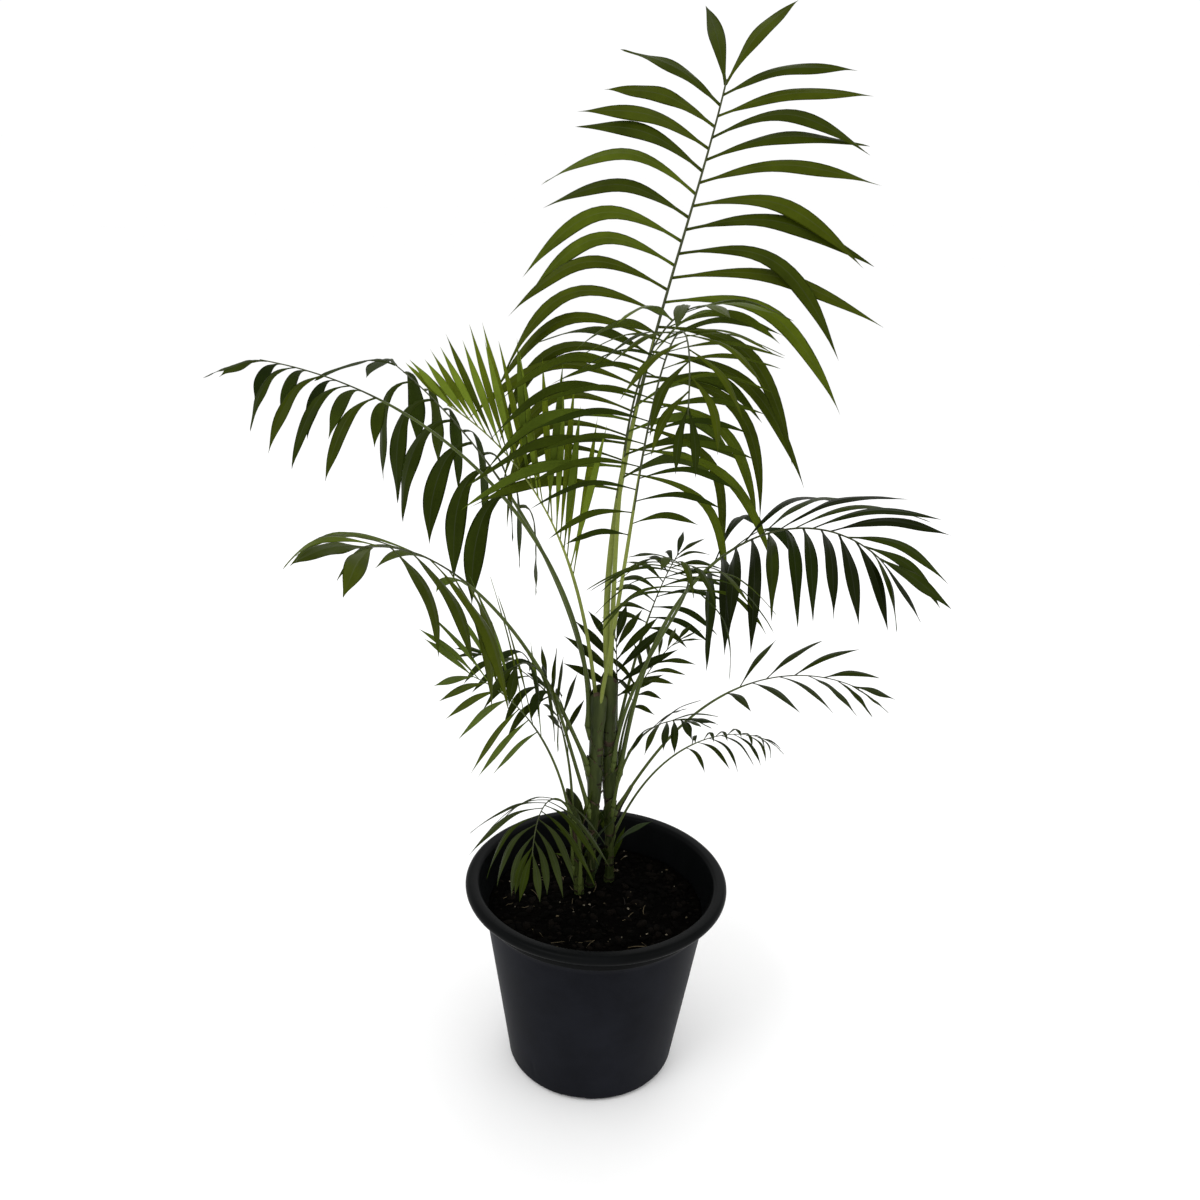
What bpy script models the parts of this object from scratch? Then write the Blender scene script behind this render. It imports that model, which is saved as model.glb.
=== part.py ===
"""Parlour palm in its nursery pot, in metres, +Z up, pot underside at the origin."""
import math
import random

import bpy
import bmesh
from mathutils import Quaternion, Vector
from mathutils.bvhtree import BVHTree

# Clearance between neighbouring solids
GAP = 0.0003
DOWN = Vector((0.0, 0.0, -1.0))
UP = Vector((0.0, 0.0, 1.0))

# Pot: a squat 300 mm nursery pot
POT_HEIGHT = 0.240
RIM_RADIUS = 0.150
RIM_WIDTH = 0.016
RIM_ROLL = 0.006
SKIRT_DEPTH = 0.029
SKIRT_RADIUS = 0.1335
SKIRT_LEAN = 0.001
SKIRT_TOP = 0.227
WALL = 0.003
WALL_TOP_RADIUS = 0.1285
BASE_RADIUS = 0.097
BASE_CORNER = 0.009
FLOOR = 0.008
POT_SIDES = 60
# Drain notches round the foot
NOTCH_COUNT = 6
NOTCH_WIDTH = 0.034
NOTCH_HEIGHT = 0.0045
NOTCH_DEPTH = 0.014
NOTCH_TURN = 262.0

# Potting mix
SOIL_TOP = 0.200
SOIL_MOUND = 0.004
SOIL_SIDES = 36

# Canes: foot and tip on the plan, tip height, and radii from the foot up: slim, then swollen by sheaths
CANES = {
    "left": dict(
        foot=(-0.020, 0.018), tip=(-0.027, 0.020), top=0.305, radii=(0.0050, 0.0046, 0.0056, 0.0048)),
    "middle": dict(
        foot=(-0.008, 0.033), tip=(-0.007, 0.036), top=0.427, radii=(0.0048, 0.0050, 0.0080, 0.0064)),
    "right": dict(
        foot=(0.014, 0.047), tip=(0.005, 0.049), top=0.442, radii=(0.0052, 0.0050, 0.0082, 0.0068)),
}
CANE_SHARES = (0.0, 0.30, 0.68, 1.0)
CANE_SIDES = 12
CANE_RINGS = 8
CANE_FLARE = 1.35
FLARE_HEIGHT = 0.020

# Stub of a cut petiole
STUB = dict(cane="right", height=0.297, seat=20, rise=62, length=0.036, radii=(0.0030, 0.0024))

# Petioles, ribs and leaflets
PETIOLE_SIDES = 6
PETIOLE_RINGS = 8
CROWN_OFFSET = 0.0041
RIB_TIP_SHARE = 0.40
LEAF_THICKNESS = 0.0019
LEAF_THICKEST = 0.0108
LEAF_STEPS = 12
LEAF_NECK = 0.20
LEAF_PEAK = 1.15
LEAF_ROLL = 22
ELBOW = 0.5
ELBOW_WIDTH = 0.17
EVEN_BEND = 0.30
CURVE_STEPS = 48
SEED = 7

# Fronds. cane, height and seat: where it leaves, seat being its side of the cane;
# heading: turn from +X seen from above; rise: slope at the foot; bend: how far it has arched over
# by the tip; late: how late it does so; veer: sideways turn by the tip; twist: the blade's own turn
# about its rib; bare and blade: lengths without and with leaflets; rib: radius at the foot;
# pairs, leaflet and width: the leaflets; fan: their angle off the rib, first and last;
# lift: above the blade; droop: turned down by the tip, most of it at the elbow's share of the length;
# first and last: length of the end leaflets as a share; slim: width of the first ones as a share;
# loose: least share of the droop; tip_twist and tip_droop: the twist and droop at the tip, if others.
FRONDS = {
    "tall": dict(
        cane="right", height=0.4423, seat=90, heading=13, rise=97, bend=46, late=1.0, veer=63, twist=62,
        rib=0.0040,
        bare=0.255, blade=0.440, pairs=17, leaflet=0.228, width=0.0175, fan=(82, 50), lift=5, droop=105,
        tip_twist=0, elbow=0.48, first=1.0, slim=0.52, last=0.62, loose=0.45, tip_droop=50),
    "front_high": dict(
        cane="right", height=0.4423, seat=270, heading=305, rise=90, bend=82, late=3.9, veer=0, twist=0,
        rib=0.0031,
        bare=0.240, blade=0.260, pairs=10, leaflet=0.180, width=0.014, fan=(82, 38), lift=12, droop=62,
        elbow=0.55, first=0.85, loose=0.6),
    "bright_upright": dict(
        cane="middle", height=0.4273, seat=90, heading=201, rise=82, bend=50, late=1.8, veer=4, twist=0,
        rib=0.0026,
        bare=0.165, blade=0.245, pairs=11, leaflet=0.168, width=0.0078, fan=(30, 16), lift=75, droop=0,
        last=0.35, first=0.95),
    "left_back": dict(
        cane="middle", height=0.405, seat=130, heading=150, rise=91, bend=73, late=0.7, veer=-11, twist=0,
        rib=0.0028,
        bare=0.262, blade=0.263, pairs=7, leaflet=0.150, width=0.024, fan=(80, 50), lift=0, droop=125,
        elbow=0.2, first=0.9, last=0.85),
    "left_far": dict(
        cane="middle", height=0.415, seat=190, heading=165, rise=91, bend=84, late=0.9, veer=18, twist=0,
        rib=0.0028,
        bare=0.430, blade=0.148, pairs=5, leaflet=0.118, width=0.0145, fan=(60, 35), lift=-15, droop=70,
        elbow=0.3),
    "left_front_high": dict(
        cane="middle", height=0.370, seat=215, heading=205, rise=67, bend=55, late=1.6, veer=49, twist=-18,
        rib=0.0027,
        bare=0.275, blade=0.200, pairs=6, leaflet=0.165, width=0.019, fan=(85, 70), lift=-5, droop=65,
        elbow=0.6, first=0.4),
    "left_low": dict(
        cane="left", height=0.245, seat=222, heading=220, rise=89, bend=57, late=1.0, veer=19, twist=-55,
        rib=0.0019,
        bare=0.185, blade=0.165, pairs=7, leaflet=0.15, width=0.0072, fan=(50, 14), lift=5, droop=14),
    "left_front_low": dict(
        cane="middle", height=0.315, seat=235, heading=202, rise=73, bend=79, late=4.3, veer=49, twist=-12,
        rib=0.0026,
        bare=0.155, blade=0.110, pairs=5, leaflet=0.092, width=0.012, fan=(80, 60), lift=0, droop=100,
        elbow=0.25),
    "right_large": dict(
        cane="right", height=0.350, seat=343, heading=9, rise=83, bend=108, late=1.9, veer=-63, twist=20,
        rib=0.0030,
        bare=0.275, blade=0.235, pairs=11, leaflet=0.148, width=0.0122, fan=(62, 16), lift=12, droop=100,
        tip_droop=45, first=0.95, last=0.55, loose=0.5, slim=1.45),
    "right_front": dict(
        cane="right", height=0.370, seat=300, heading=351, rise=86, bend=62, late=0.9, veer=-110, twist=0,
        rib=0.0023,
        bare=0.275, blade=0.135, pairs=8, leaflet=0.110, width=0.0085, fan=(80, 15), lift=5, droop=65,
        first=0.9),
    "back": dict(
        cane="right", height=0.365, seat=75, heading=70, rise=63, bend=33, late=2.0, veer=-9, twist=0,
        rib=0.0023,
        bare=0.150, blade=0.110, pairs=8, leaflet=0.090, width=0.0075, fan=(75, 25), lift=0, droop=50),
    "front_tall": dict(
        cane="middle", height=0.4273, seat=270, heading=315, rise=79, bend=190, late=5.0, veer=-44, twist=0,
        rib=0.0025, bare=0.225, blade=0.395, pairs=15, leaflet=0.120, width=0.0078, fan=(75, 40), lift=5,
        droop=45),
    "right_low": dict(
        cane="right", height=0.302, seat=0, heading=-4, rise=63, bend=83, late=2.0, veer=-12, twist=15,
        rib=0.0020,
        bare=0.195, blade=0.158, pairs=5, leaflet=0.092, width=0.0085, fan=(50, 20), lift=15, droop=30),
    "right_small": dict(
        cane="right", height=0.267, seat=35, heading=31, rise=63, bend=87, late=1.5, veer=-23, twist=0,
        rib=0.0016,
        bare=0.130, blade=0.105, pairs=7, leaflet=0.06, width=0.0055, fan=(60, 25), lift=0, droop=70),
    "front_low": dict(
        cane="left", height=0.220, seat=285, heading=224, rise=91, bend=135, late=1.5, veer=48, twist=0,
        rib=0.0019,
        bare=0.165, blade=0.110, pairs=8, leaflet=0.098, width=0.0082, fan=(75, 25), lift=0, droop=60,
        elbow=0.35),
    "short_upright": dict(
        cane="left", height=0.3053, seat=165, heading=165, rise=88, bend=25, late=1.2, veer=0, twist=0,
        rib=0.0019,
        bare=0.095, blade=0.080, pairs=5, leaflet=0.070, width=0.008, fan=(50, 22), lift=15, droop=15),
    "left_inner": dict(
        cane="middle", height=0.357, seat=165, heading=165, rise=72, bend=62, late=1.4, veer=10, twist=0,
        rib=0.0018,
        bare=0.085, blade=0.100, pairs=6, leaflet=0.085, width=0.009, fan=(72, 28), lift=0, droop=60),
    "right_inner": dict(
        cane="right", height=0.397, seat=45, heading=100, rise=86, bend=30, late=1.4, veer=0, twist=0,
        rib=0.0018,
        bare=0.040, blade=0.070, pairs=5, leaflet=0.080, width=0.010, fan=(55, 20), lift=15, droop=12),
    "right_thin": dict(
        cane="right", height=0.365, seat=15, heading=30, rise=84, bend=55, late=1.5, veer=0, twist=0,
        rib=0.0016,
        bare=0.062, blade=0.100, pairs=7, leaflet=0.062, width=0.006, fan=(60, 28), lift=15, droop=35),
    "right_near": dict(
        cane="right", height=0.310, seat=305, heading=320, rise=82, bend=66, late=1.5, veer=0, twist=0,
        rib=0.0019,
        bare=0.125, blade=0.062, pairs=6, leaflet=0.066, width=0.009, fan=(72, 28), lift=0, droop=40),
}
# Length of the first and last leaflets as a share of the longest
FIRST_LEAFLET = 0.62
LAST_LEAFLET = 0.50
# The two leaflets at the very tip: their angle off the rib and their share of the droop
TIP_FAN = 17
TIP_DROOP = 0.45
# Least share of its droop that a leaflet may have
LEAST_DROOP = 0.80
# Leaflets this long or longer have one ring more
LONG_LEAFLET = 0.100
# Other lifts tried where a leaflet would touch what is there
OTHER_LIFTS = (0, 12, -12, 24, -24)


def heading_vector(degrees):
    """Level unit vector at a turn from +X."""
    turn = math.radians(degrees)
    return Vector((math.cos(turn), math.sin(turn), 0.0))


def mesh_node(name, points, faces):
    """Object from points and faces, in the scene's collection."""
    mesh = bpy.data.meshes.new(name)
    mesh.from_pydata([tuple(p) for p in points], [], faces)
    mesh.update()
    node = bpy.data.objects.new(name, mesh)
    bpy.context.scene.collection.objects.link(node)
    return node


def ring_tube(rings):
    """Points and outward faces of a closed tube through rings of equal count, flat at both ends."""
    points = [p for ring in rings for p in ring]
    sides = len(rings[0])
    faces = [tuple(reversed(range(sides)))]
    for k in range(len(rings) - 1):
        for i in range(sides):
            j = (i + 1) % sides
            faces.append((k * sides + i, k * sides + j, (k + 1) * sides + j, (k + 1) * sides + i))
    last = (len(rings) - 1) * sides
    faces.append(tuple(range(last, last + sides)))
    return points, faces


def round_ring(centre, across, over, radius, sides):
    """Points round a centre, counterclockwise seen from the way across x over points."""
    ring = []
    for i in range(sides):
        turn = 2 * math.pi * i / sides
        ring.append(centre + across * (radius * math.cos(turn)) + over * (radius * math.sin(turn)))
    return ring


def turned(profile, sides):
    """Points and faces of a solid turned about Z from a profile that starts and ends on the axis."""
    inner = profile[1:-1]
    points = [Vector((0, 0, profile[0][1]))]
    for radius, height in inner:
        points += round_ring(Vector((0, 0, height)), Vector((1, 0, 0)), Vector((0, 1, 0)), radius, sides)
    points.append(Vector((0, 0, profile[-1][1])))
    faces = []
    for i in range(sides):
        j = (i + 1) % sides
        faces.append((0, 1 + j, 1 + i))
        for k in range(len(inner) - 1):
            a = 1 + k * sides
            b = a + sides
            faces.append((a + i, a + j, b + j, b + i))
        top = 1 + (len(inner) - 1) * sides
        faces.append((top + i, top + j, len(points) - 1))
    return points, faces


def arc(centre, radius, start, end, steps):
    """Profile points on an arc, degrees from the outward way."""
    found = []
    for k in range(steps + 1):
        turn = math.radians(start + (end - start) * k / steps)
        found.append((centre[0] + radius * math.cos(turn), centre[1] + radius * math.sin(turn)))
    return found


def wall_radius(height):
    """Outer radius of the pot's wall."""
    skirt_foot = POT_HEIGHT - SKIRT_DEPTH
    return BASE_RADIUS + (WALL_TOP_RADIUS - BASE_RADIUS) * height / skirt_foot


def make_pot():
    """Tapered pot with a broad rolled rim over a low band, and drain notches in its foot."""
    skirt_foot = POT_HEIGHT - SKIRT_DEPTH
    rim_inner = RIM_RADIUS - RIM_WIDTH
    profile = [(0.0, 0.0)]
    profile += arc((wall_radius(BASE_CORNER) - BASE_CORNER, BASE_CORNER), BASE_CORNER, -90, 0, 3)
    profile += [(WALL_TOP_RADIUS, skirt_foot)]
    profile += [(SKIRT_RADIUS, skirt_foot), (SKIRT_RADIUS + SKIRT_LEAN, SKIRT_TOP)]
    profile += arc((RIM_RADIUS - RIM_ROLL, POT_HEIGHT - RIM_ROLL), RIM_ROLL, -90, 90, 6)
    profile += [(rim_inner + 0.003, POT_HEIGHT), (rim_inner, POT_HEIGHT - 0.003)]
    profile += [(WALL_TOP_RADIUS - WALL, skirt_foot - 0.004)]
    profile += [(wall_radius(FLOOR) - WALL - 0.006, FLOOR), (0.0, FLOOR)]
    pot = mesh_node("pot", *turned(profile, POT_SIDES))
    for k in range(NOTCH_COUNT):
        cut_notch(pot, NOTCH_TURN + 360.0 * k / NOTCH_COUNT)


def cut_notch(pot, turn):
    """Takes one drain notch out of the pot's foot."""
    out = heading_vector(turn)
    side = UP.cross(out)
    reach = BASE_RADIUS + 0.02
    depth = BASE_RADIUS - NOTCH_DEPTH
    rings = []
    for distance in (depth, reach):
        ring = []
        for across, height in ((-1, -1), (-1, 1), (1, 1), (1, -1)):
            lift = NOTCH_HEIGHT if height > 0 else -0.01
            wide = NOTCH_WIDTH / 2 * (0.8 if height > 0 else 1.0)
            ring.append(out * distance + side * (across * wide) + UP * lift)
        rings.append(ring)
    cutter = mesh_node("notch_cutter", *ring_tube(rings))
    face_out(cutter.data)
    cut = pot.modifiers.new("notch", "BOOLEAN")
    cut.object = cutter
    cut.operation = "DIFFERENCE"
    cut.solver = "EXACT"
    bake(pot)
    bpy.data.objects.remove(cutter)


def bake(node):
    """Applies a node's modifiers to its mesh."""
    graph = bpy.context.evaluated_depsgraph_get()
    done = bpy.data.meshes.new_from_object(node.evaluated_get(graph))
    node.modifiers.clear()
    node.data = done


def face_out(mesh):
    """Turns a closed mesh's faces outward."""
    work = bmesh.new()
    work.from_mesh(mesh)
    bmesh.ops.recalc_face_normals(work, faces=work.faces)
    if work.calc_volume(signed=True) < 0:
        bmesh.ops.reverse_faces(work, faces=work.faces)
    work.to_mesh(mesh)
    work.free()


def make_soil():
    """Potting mix: fills the pot to its level, a little higher at the canes."""
    foot = FLOOR + GAP
    side = WALL + GAP
    top_radius = wall_radius(SOIL_TOP) - side - 0.0006
    profile = [(0.0, foot), (wall_radius(foot) - side - 0.0075, foot), (top_radius, SOIL_TOP)]
    profile += [(top_radius * 0.6, SOIL_TOP + SOIL_MOUND * 0.6), (0.0, SOIL_TOP + SOIL_MOUND)]
    mesh_node("soil", *turned(profile, SOIL_SIDES))


def cane_point(cane, height):
    """A cane's axis at a height."""
    spec = CANES[cane]
    share = (height - SOIL_TOP) / (spec["top"] - SOIL_TOP)
    x = spec["foot"][0] + (spec["tip"][0] - spec["foot"][0]) * share
    y = spec["foot"][1] + (spec["tip"][1] - spec["foot"][1]) * share
    return Vector((x, y, height))


def cane_radius(cane, height):
    """A cane's radius at a height, with its swollen foot."""
    share = min(1.0, (height - SOIL_TOP) / (CANES[cane]["top"] - SOIL_TOP))
    radii = CANES[cane]["radii"]
    k = 0
    while k < len(radii) - 2 and share > CANE_SHARES[k + 1]:
        k += 1
    ease = (1 - math.cos(math.pi * (share - CANE_SHARES[k]) / (CANE_SHARES[k + 1] - CANE_SHARES[k]))) / 2
    flare = max(0.0, 1 - (height - SOIL_TOP) / FLARE_HEIGHT)
    return (radii[k] + (radii[k + 1] - radii[k]) * ease) * (1 + (CANE_FLARE - 1) * flare * flare)


def make_cane(name):
    """One upright cane, cut flat at the soil and at its tip."""
    foot = SOIL_TOP + SOIL_MOUND + GAP
    top = CANES[name]["top"]
    heights = [foot, foot + FLARE_HEIGHT * 0.5]
    straight = top - foot - FLARE_HEIGHT
    heights += [foot + FLARE_HEIGHT + straight * k / CANE_RINGS for k in range(CANE_RINGS + 1)]
    rings = []
    for height in heights:
        centre = cane_point(name, height)
        radius = cane_radius(name, height)
        rings.append(round_ring(centre, Vector((1, 0, 0)), Vector((0, 1, 0)), radius, CANE_SIDES))
    return mesh_node("cane_" + name, *ring_tube(rings))


def frond_foot(spec):
    """Where a petiole starts: beside its cane, or on the cane's tip."""
    cane = CANES[spec["cane"]]
    way = heading_vector(spec["seat"])
    if spec["height"] > cane["top"]:
        above = spec["height"] - cane["top"]
        return cane_point(spec["cane"], cane["top"]) + way * CROWN_OFFSET + UP * above
    reach = cane_radius(spec["cane"], spec["height"]) + spec["rib"] * 1.3 + GAP
    return cane_point(spec["cane"], spec["height"]) + way * reach


def make_stub():
    """What is left of a petiole that was cut off."""
    way = heading_vector(STUB["seat"])
    slope = math.radians(STUB["rise"])
    tangent = way * math.cos(slope) + UP * math.sin(slope)
    over = UP * math.cos(slope) - way * math.sin(slope)
    reach = cane_radius(STUB["cane"], STUB["height"]) + STUB["radii"][0] * 1.3 + GAP
    foot = cane_point(STUB["cane"], STUB["height"]) + way * reach
    rings = []
    for share, radius in zip((0, 1), STUB["radii"]):
        centre = foot + tangent * STUB["length"] * share
        rings.append(round_ring(centre, tangent.cross(over) * -1, over, radius, 8))
    for corner in rings[0]:
        corner.z = STUB["height"]
    node = mesh_node("cut_stub", *ring_tube(rings))
    face_out(node.data)
    return node


def frond_curve(spec):
    """Points and slopes along a frond, from its foot to its tip."""
    length = spec["bare"] + spec["blade"]
    point = frond_foot(spec)
    curve = []
    for k in range(CURVE_STEPS + 1):
        share = k / CURVE_STEPS
        slope = math.radians(spec["rise"] - spec["bend"] * share ** spec["late"])
        way = heading_vector(spec["heading"] + spec["veer"] * share)
        tangent = way * math.cos(slope) + UP * math.sin(slope)
        over = UP * math.cos(slope) - way * math.sin(slope)
        curve.append((point.copy(), tangent, over))
        point += tangent * (length / CURVE_STEPS)
    return curve


def at_length(spec, curve, distance):
    """Point, tangent and the blade's upper side at a length along a frond."""
    place = distance / (spec["bare"] + spec["blade"]) * CURVE_STEPS
    k = min(int(place), CURVE_STEPS - 1)
    share = place - k
    point = curve[k][0].lerp(curve[k + 1][0], share)
    tangent = curve[k][1].lerp(curve[k + 1][1], share).normalized()
    over = curve[k][2].lerp(curve[k + 1][2], share).normalized()
    length_share = distance / (spec["bare"] + spec["blade"])
    twist = spec["twist"] + (spec.get("tip_twist", spec["twist"]) - spec["twist"]) * length_share
    over = Quaternion(tangent, math.radians(twist)) @ over
    return point, tangent, over


def rib_radius(spec, distance):
    """Radius of petiole and rib, tapering to the frond's tip."""
    share = distance / (spec["bare"] + spec["blade"])
    return spec["rib"] * (1 - (1 - RIB_TIP_SHARE) * share)


def make_petiole(name, spec, curve):
    """The bare stalk, up to just short of the first leaflets."""
    rings = []
    for k in range(PETIOLE_RINGS + 1):
        distance = (spec["bare"] - GAP) * k / PETIOLE_RINGS
        point, tangent, over = at_length(spec, curve, distance)
        across = tangent.cross(over) * -1
        radius = rib_radius(spec, distance)
        rings.append(round_ring(point, across, over, radius, PETIOLE_SIDES))
    for corner in rings[0]:
        corner.z = spec["height"]
    node = mesh_node("petiole_" + name, *ring_tube(rings))
    face_out(node.data)
    return node


def leaflet_shape(share):
    """Width of a leaflet along its length, as a share of its greatest."""
    return max(LEAF_NECK * (1 - share), math.sin(math.pi * share ** LEAF_PEAK) ** (1.0 + 0.5 * share))


def leaflet_width(spec, share):
    """Leaflets are slimmer near the first, where a frond says so."""
    slim = spec.get("slim", 1.0)
    return spec["width"] * (slim + (1 - slim) * min(1.0, 1.8 * share))


def leaflet_length(spec, share):
    """Leaflets are shorter near the first and toward the tip."""
    first = min(1.0, spec.get("first", FIRST_LEAFLET) + 2.2 * share)
    last = 1 - (1 - spec.get("last", LAST_LEAFLET)) * max(0.0, (share - 0.45) / 0.55) ** 1.1
    return spec["leaflet"] * first * last


def leaflet_moods(spec, share, chance):
    """One leaflet's own fan angle, lift, droop, length, elbow, roll and width."""
    fan = spec["fan"][0] + (spec["fan"][1] - spec["fan"][0]) * share ** 1.6 + chance.uniform(-5, 5)
    lift = spec["lift"] + chance.uniform(-7, 7)
    droop = spec["droop"] + (spec.get("tip_droop", spec["droop"]) - spec["droop"]) * share
    droop *= chance.uniform(spec.get("loose", LEAST_DROOP), 1.15)
    length = leaflet_length(spec, share) * chance.uniform(0.93, 1.05)
    if share > 1 - 1 / (2 * spec["pairs"]):
        fan = TIP_FAN
        droop *= TIP_DROOP
    roll = chance.uniform(-LEAF_ROLL, LEAF_ROLL)
    return fan, lift, droop, length, spec.get("elbow", ELBOW), roll, leaflet_width(spec, share)


def bend_shares(elbow):
    """Share of a leaflet's droop at each of its steps: a little all along, most at its elbow."""
    shares = []
    for k in range(LEAF_STEPS):
        away = ((k + 0.5) / LEAF_STEPS - elbow) / ELBOW_WIDTH
        shares.append(EVEN_BEND + math.exp(-away * away))
    return [share / sum(shares) for share in shares]


def leaflet_steps(root, tangent, over, side, moods):
    """Points, width ways and thickness ways along a leaflet, which turns down as it goes."""
    across = tangent.cross(over) * -side
    fan = math.radians(moods[0])
    lift = math.radians(moods[1])
    droop = math.radians(moods[2])
    length = moods[3]
    bends = bend_shares(moods[4])
    roll = math.radians(moods[5]) / LEAF_STEPS
    way = tangent * math.cos(fan) + (across * math.cos(lift) + over * math.sin(lift)) * math.sin(fan)
    wide = (tangent - way * tangent.dot(way)).normalized()
    thick = way.cross(wide).normalized()
    if thick.dot(over) < 0:
        thick = -thick
    steps = []
    point = root.copy()
    for k in range(LEAF_STEPS + 1):
        steps.append((point.copy(), wide.copy(), thick.copy()))
        fall = min(droop * bends[min(k, LEAF_STEPS - 1)], way.angle(DOWN) * 0.45)
        axis = way.cross(DOWN)
        if axis.length > 1e-4:
            turn = axis.normalized()
            spin = Quaternion(turn, fall)
            way = spin @ way
            spin = Quaternion(way, roll) @ spin
            wide = spin @ wide
            thick = spin @ thick
        point = point + way * (length / LEAF_STEPS)
    return steps


def leaf_depth(spec):
    """Half the thickness of a leaflet, more on long ones."""
    return max(LEAF_THICKNESS, spec["leaflet"] * LEAF_THICKEST) / 2


def ring_shares(spec):
    """Where a leaflet has its rings, as shares of its length."""
    return (0.25, 0.5, 0.75) if spec["leaflet"] >= LONG_LEAFLET else (1 / 3, 2 / 3)


def leaflet_loops(spec, steps, width):
    """Four-cornered rings of one leaflet and its tip."""
    loops = []
    for share in ring_shares(spec):
        point, wide, thick = steps[round(share * LEAF_STEPS)]
        half = width / 2 * leaflet_shape(share)
        deep = leaf_depth(spec)
        loops.append([point - wide * half + thick * deep, point + wide * half + thick * deep,
                      point + wide * half - thick * deep, point - wide * half - thick * deep])
    return loops, steps[-1][0]


def rib_tree(spec, curve):
    """Search tree of a blade's rib."""
    rings = []
    for k in range(PETIOLE_RINGS * 2 + 1):
        distance = spec["bare"] + spec["blade"] * k / (PETIOLE_RINGS * 2)
        point, tangent, over = at_length(spec, curve, distance)
        rings.append(round_ring(point, tangent.cross(over) * -1, over, rib_radius(spec, distance) + GAP, 4))
    return search_tree(*ring_tube(rings))


def make_blade(name, spec, curve, taken, chance):
    """The leafy part of a frond: a three-sided rib whose sides grow out as leaflets."""
    count = spec["pairs"] * 2
    points = []
    faces = []
    start = spec["bare"] + GAP
    pitch = (spec["blade"] - GAP) / count
    frames = []
    for k in range(count + 1):
        distance = min(start + pitch * k, spec["bare"] + spec["blade"])
        point, tangent, over = at_length(spec, curve, distance)
        across = tangent.cross(over)
        radius = rib_radius(spec, distance)
        frames.append((point, tangent, over, across))
        points += [point + over * radius, point + across * radius * -0.9 - over * radius * 0.6,
                   point + across * radius * 0.9 - over * radius * 0.6]
    own = []
    for k in range(count):
        a = 3 * k
        b = a + 3
        sides = {1: (a, b, b + 1, a + 1), -1: (b, a, a + 2, b + 2)}
        faces.append((a + 1, b + 1, b + 2, a + 2))
        grows = [1 if k % 2 else -1]
        if k == count - 1:
            grows = [1, -1]
        for side in (1, -1):
            quad = sides[side]
            loops = None
            if side in grows:
                share = (k + 0.5) / count
                loops = grow_leaflet(spec, frames[k], frames[k + 1], side, share, taken, own, chance)
            if loops is None:
                faces.append(quad)
                continue
            add_leaflet(points, faces, quad, loops, side)
    faces.append((0, 1, 2))
    last = 3 * count
    faces.append((last, last + 2, last + 1))
    node = mesh_node("frond_" + name, points, faces)
    face_out(node.data)
    return [pair[0] for pair in own]


def add_leaflet(points, faces, quad, loops, side):
    """Joins a leaflet's rings on to one side of the rib."""
    rings, tip = loops
    if side > 0:
        root = [quad[0], quad[1], quad[2], quad[3]]
    else:
        root = [quad[1], quad[0], quad[3], quad[2]]
    last = root
    for ring in rings:
        new = list(range(len(points), len(points) + 4))
        points += ring
        for i in range(4):
            j = (i + 1) % 4
            faces.append((last[i], last[j], new[j], new[i]))
        last = new
    points.append(tip)
    for i in range(4):
        j = (i + 1) % 4
        faces.append((last[i], last[j], len(points) - 1))


def grow_leaflet(spec, rear, front, side, share, taken, own, chance):
    """One leaflet's rings, or none where it would touch what is there at every lift."""
    root = (rear[0] + front[0]) / 2
    tangent = (rear[1] + front[1]).normalized()
    fan, lift, droop, length, elbow, roll, width = leaflet_moods(spec, share, chance)
    for other_lift in OTHER_LIFTS:
        moods = (fan, lift + other_lift, droop, length, elbow, roll)
        steps = leaflet_steps(root, tangent, rear[2], side, moods)
        whole = swollen(spec, steps, width, 0)
        clear = swollen(spec, steps, width, 1 / 12)
        if touches(whole, taken) or touches(clear, [pair[1] for pair in own]):
            continue
        own.append((whole, clear))
        return leaflet_loops(spec, steps, width)
    return None


def touches(shape, others):
    """Whether a shape's surface meets any of the others."""
    return any(near(shape, other) and shape[0].overlap(other[0]) for other in others)


def swollen(spec, steps, width, first):
    """Search tree and bounds of a leaflet, a little larger than it is, from a first share of its length."""
    rings = []
    for share in (first,) + ring_shares(spec) + (1.0,):
        point, wide, thick = steps[round(share * LEAF_STEPS)]
        half = width / 2 * leaflet_shape(share) + 2 * GAP
        if share == 0:
            half = max(half, spec["blade"] / spec["pairs"] / 4)
        deep = leaf_depth(spec) + 2 * GAP
        rings.append([point - wide * half + thick * deep, point + wide * half + thick * deep,
                      point + wide * half - thick * deep, point - wide * half - thick * deep])
    return search_tree(*ring_tube(rings))


def search_tree(points, faces):
    """Search tree of a closed shape with its bounds."""
    low = Vector([min(p[i] for p in points) for i in range(3)])
    high = Vector([max(p[i] for p in points) for i in range(3)])
    return BVHTree.FromPolygons([tuple(p) for p in points], faces), low, high


def near(one, two):
    """Whether two shapes' bounds meet."""
    return all(one[1][i] <= two[2][i] and two[1][i] <= one[2][i] for i in range(3))


def node_tree(node):
    """Search tree of a node's mesh."""
    mesh = node.data
    return search_tree([v.co.copy() for v in mesh.vertices], [tuple(p.vertices) for p in mesh.polygons])


def make_plant():
    """Canes, then petioles, then blades, each clear of those before it."""
    limbs = [node_tree(make_cane(name)) for name in CANES]
    limbs.append(node_tree(make_stub()))
    curves = {name: frond_curve(spec) for name, spec in FRONDS.items()}
    limbs += [node_tree(make_petiole(name, spec, curves[name])) for name, spec in FRONDS.items()]
    ribs = {name: rib_tree(spec, curves[name]) for name, spec in FRONDS.items()}
    leaflets = []
    for order, (name, spec) in enumerate(FRONDS.items()):
        taken = limbs + leaflets + [rib for owner, rib in ribs.items() if owner != name]
        leaflets += make_blade(name, spec, curves[name], taken, random.Random(SEED + order))


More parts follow.
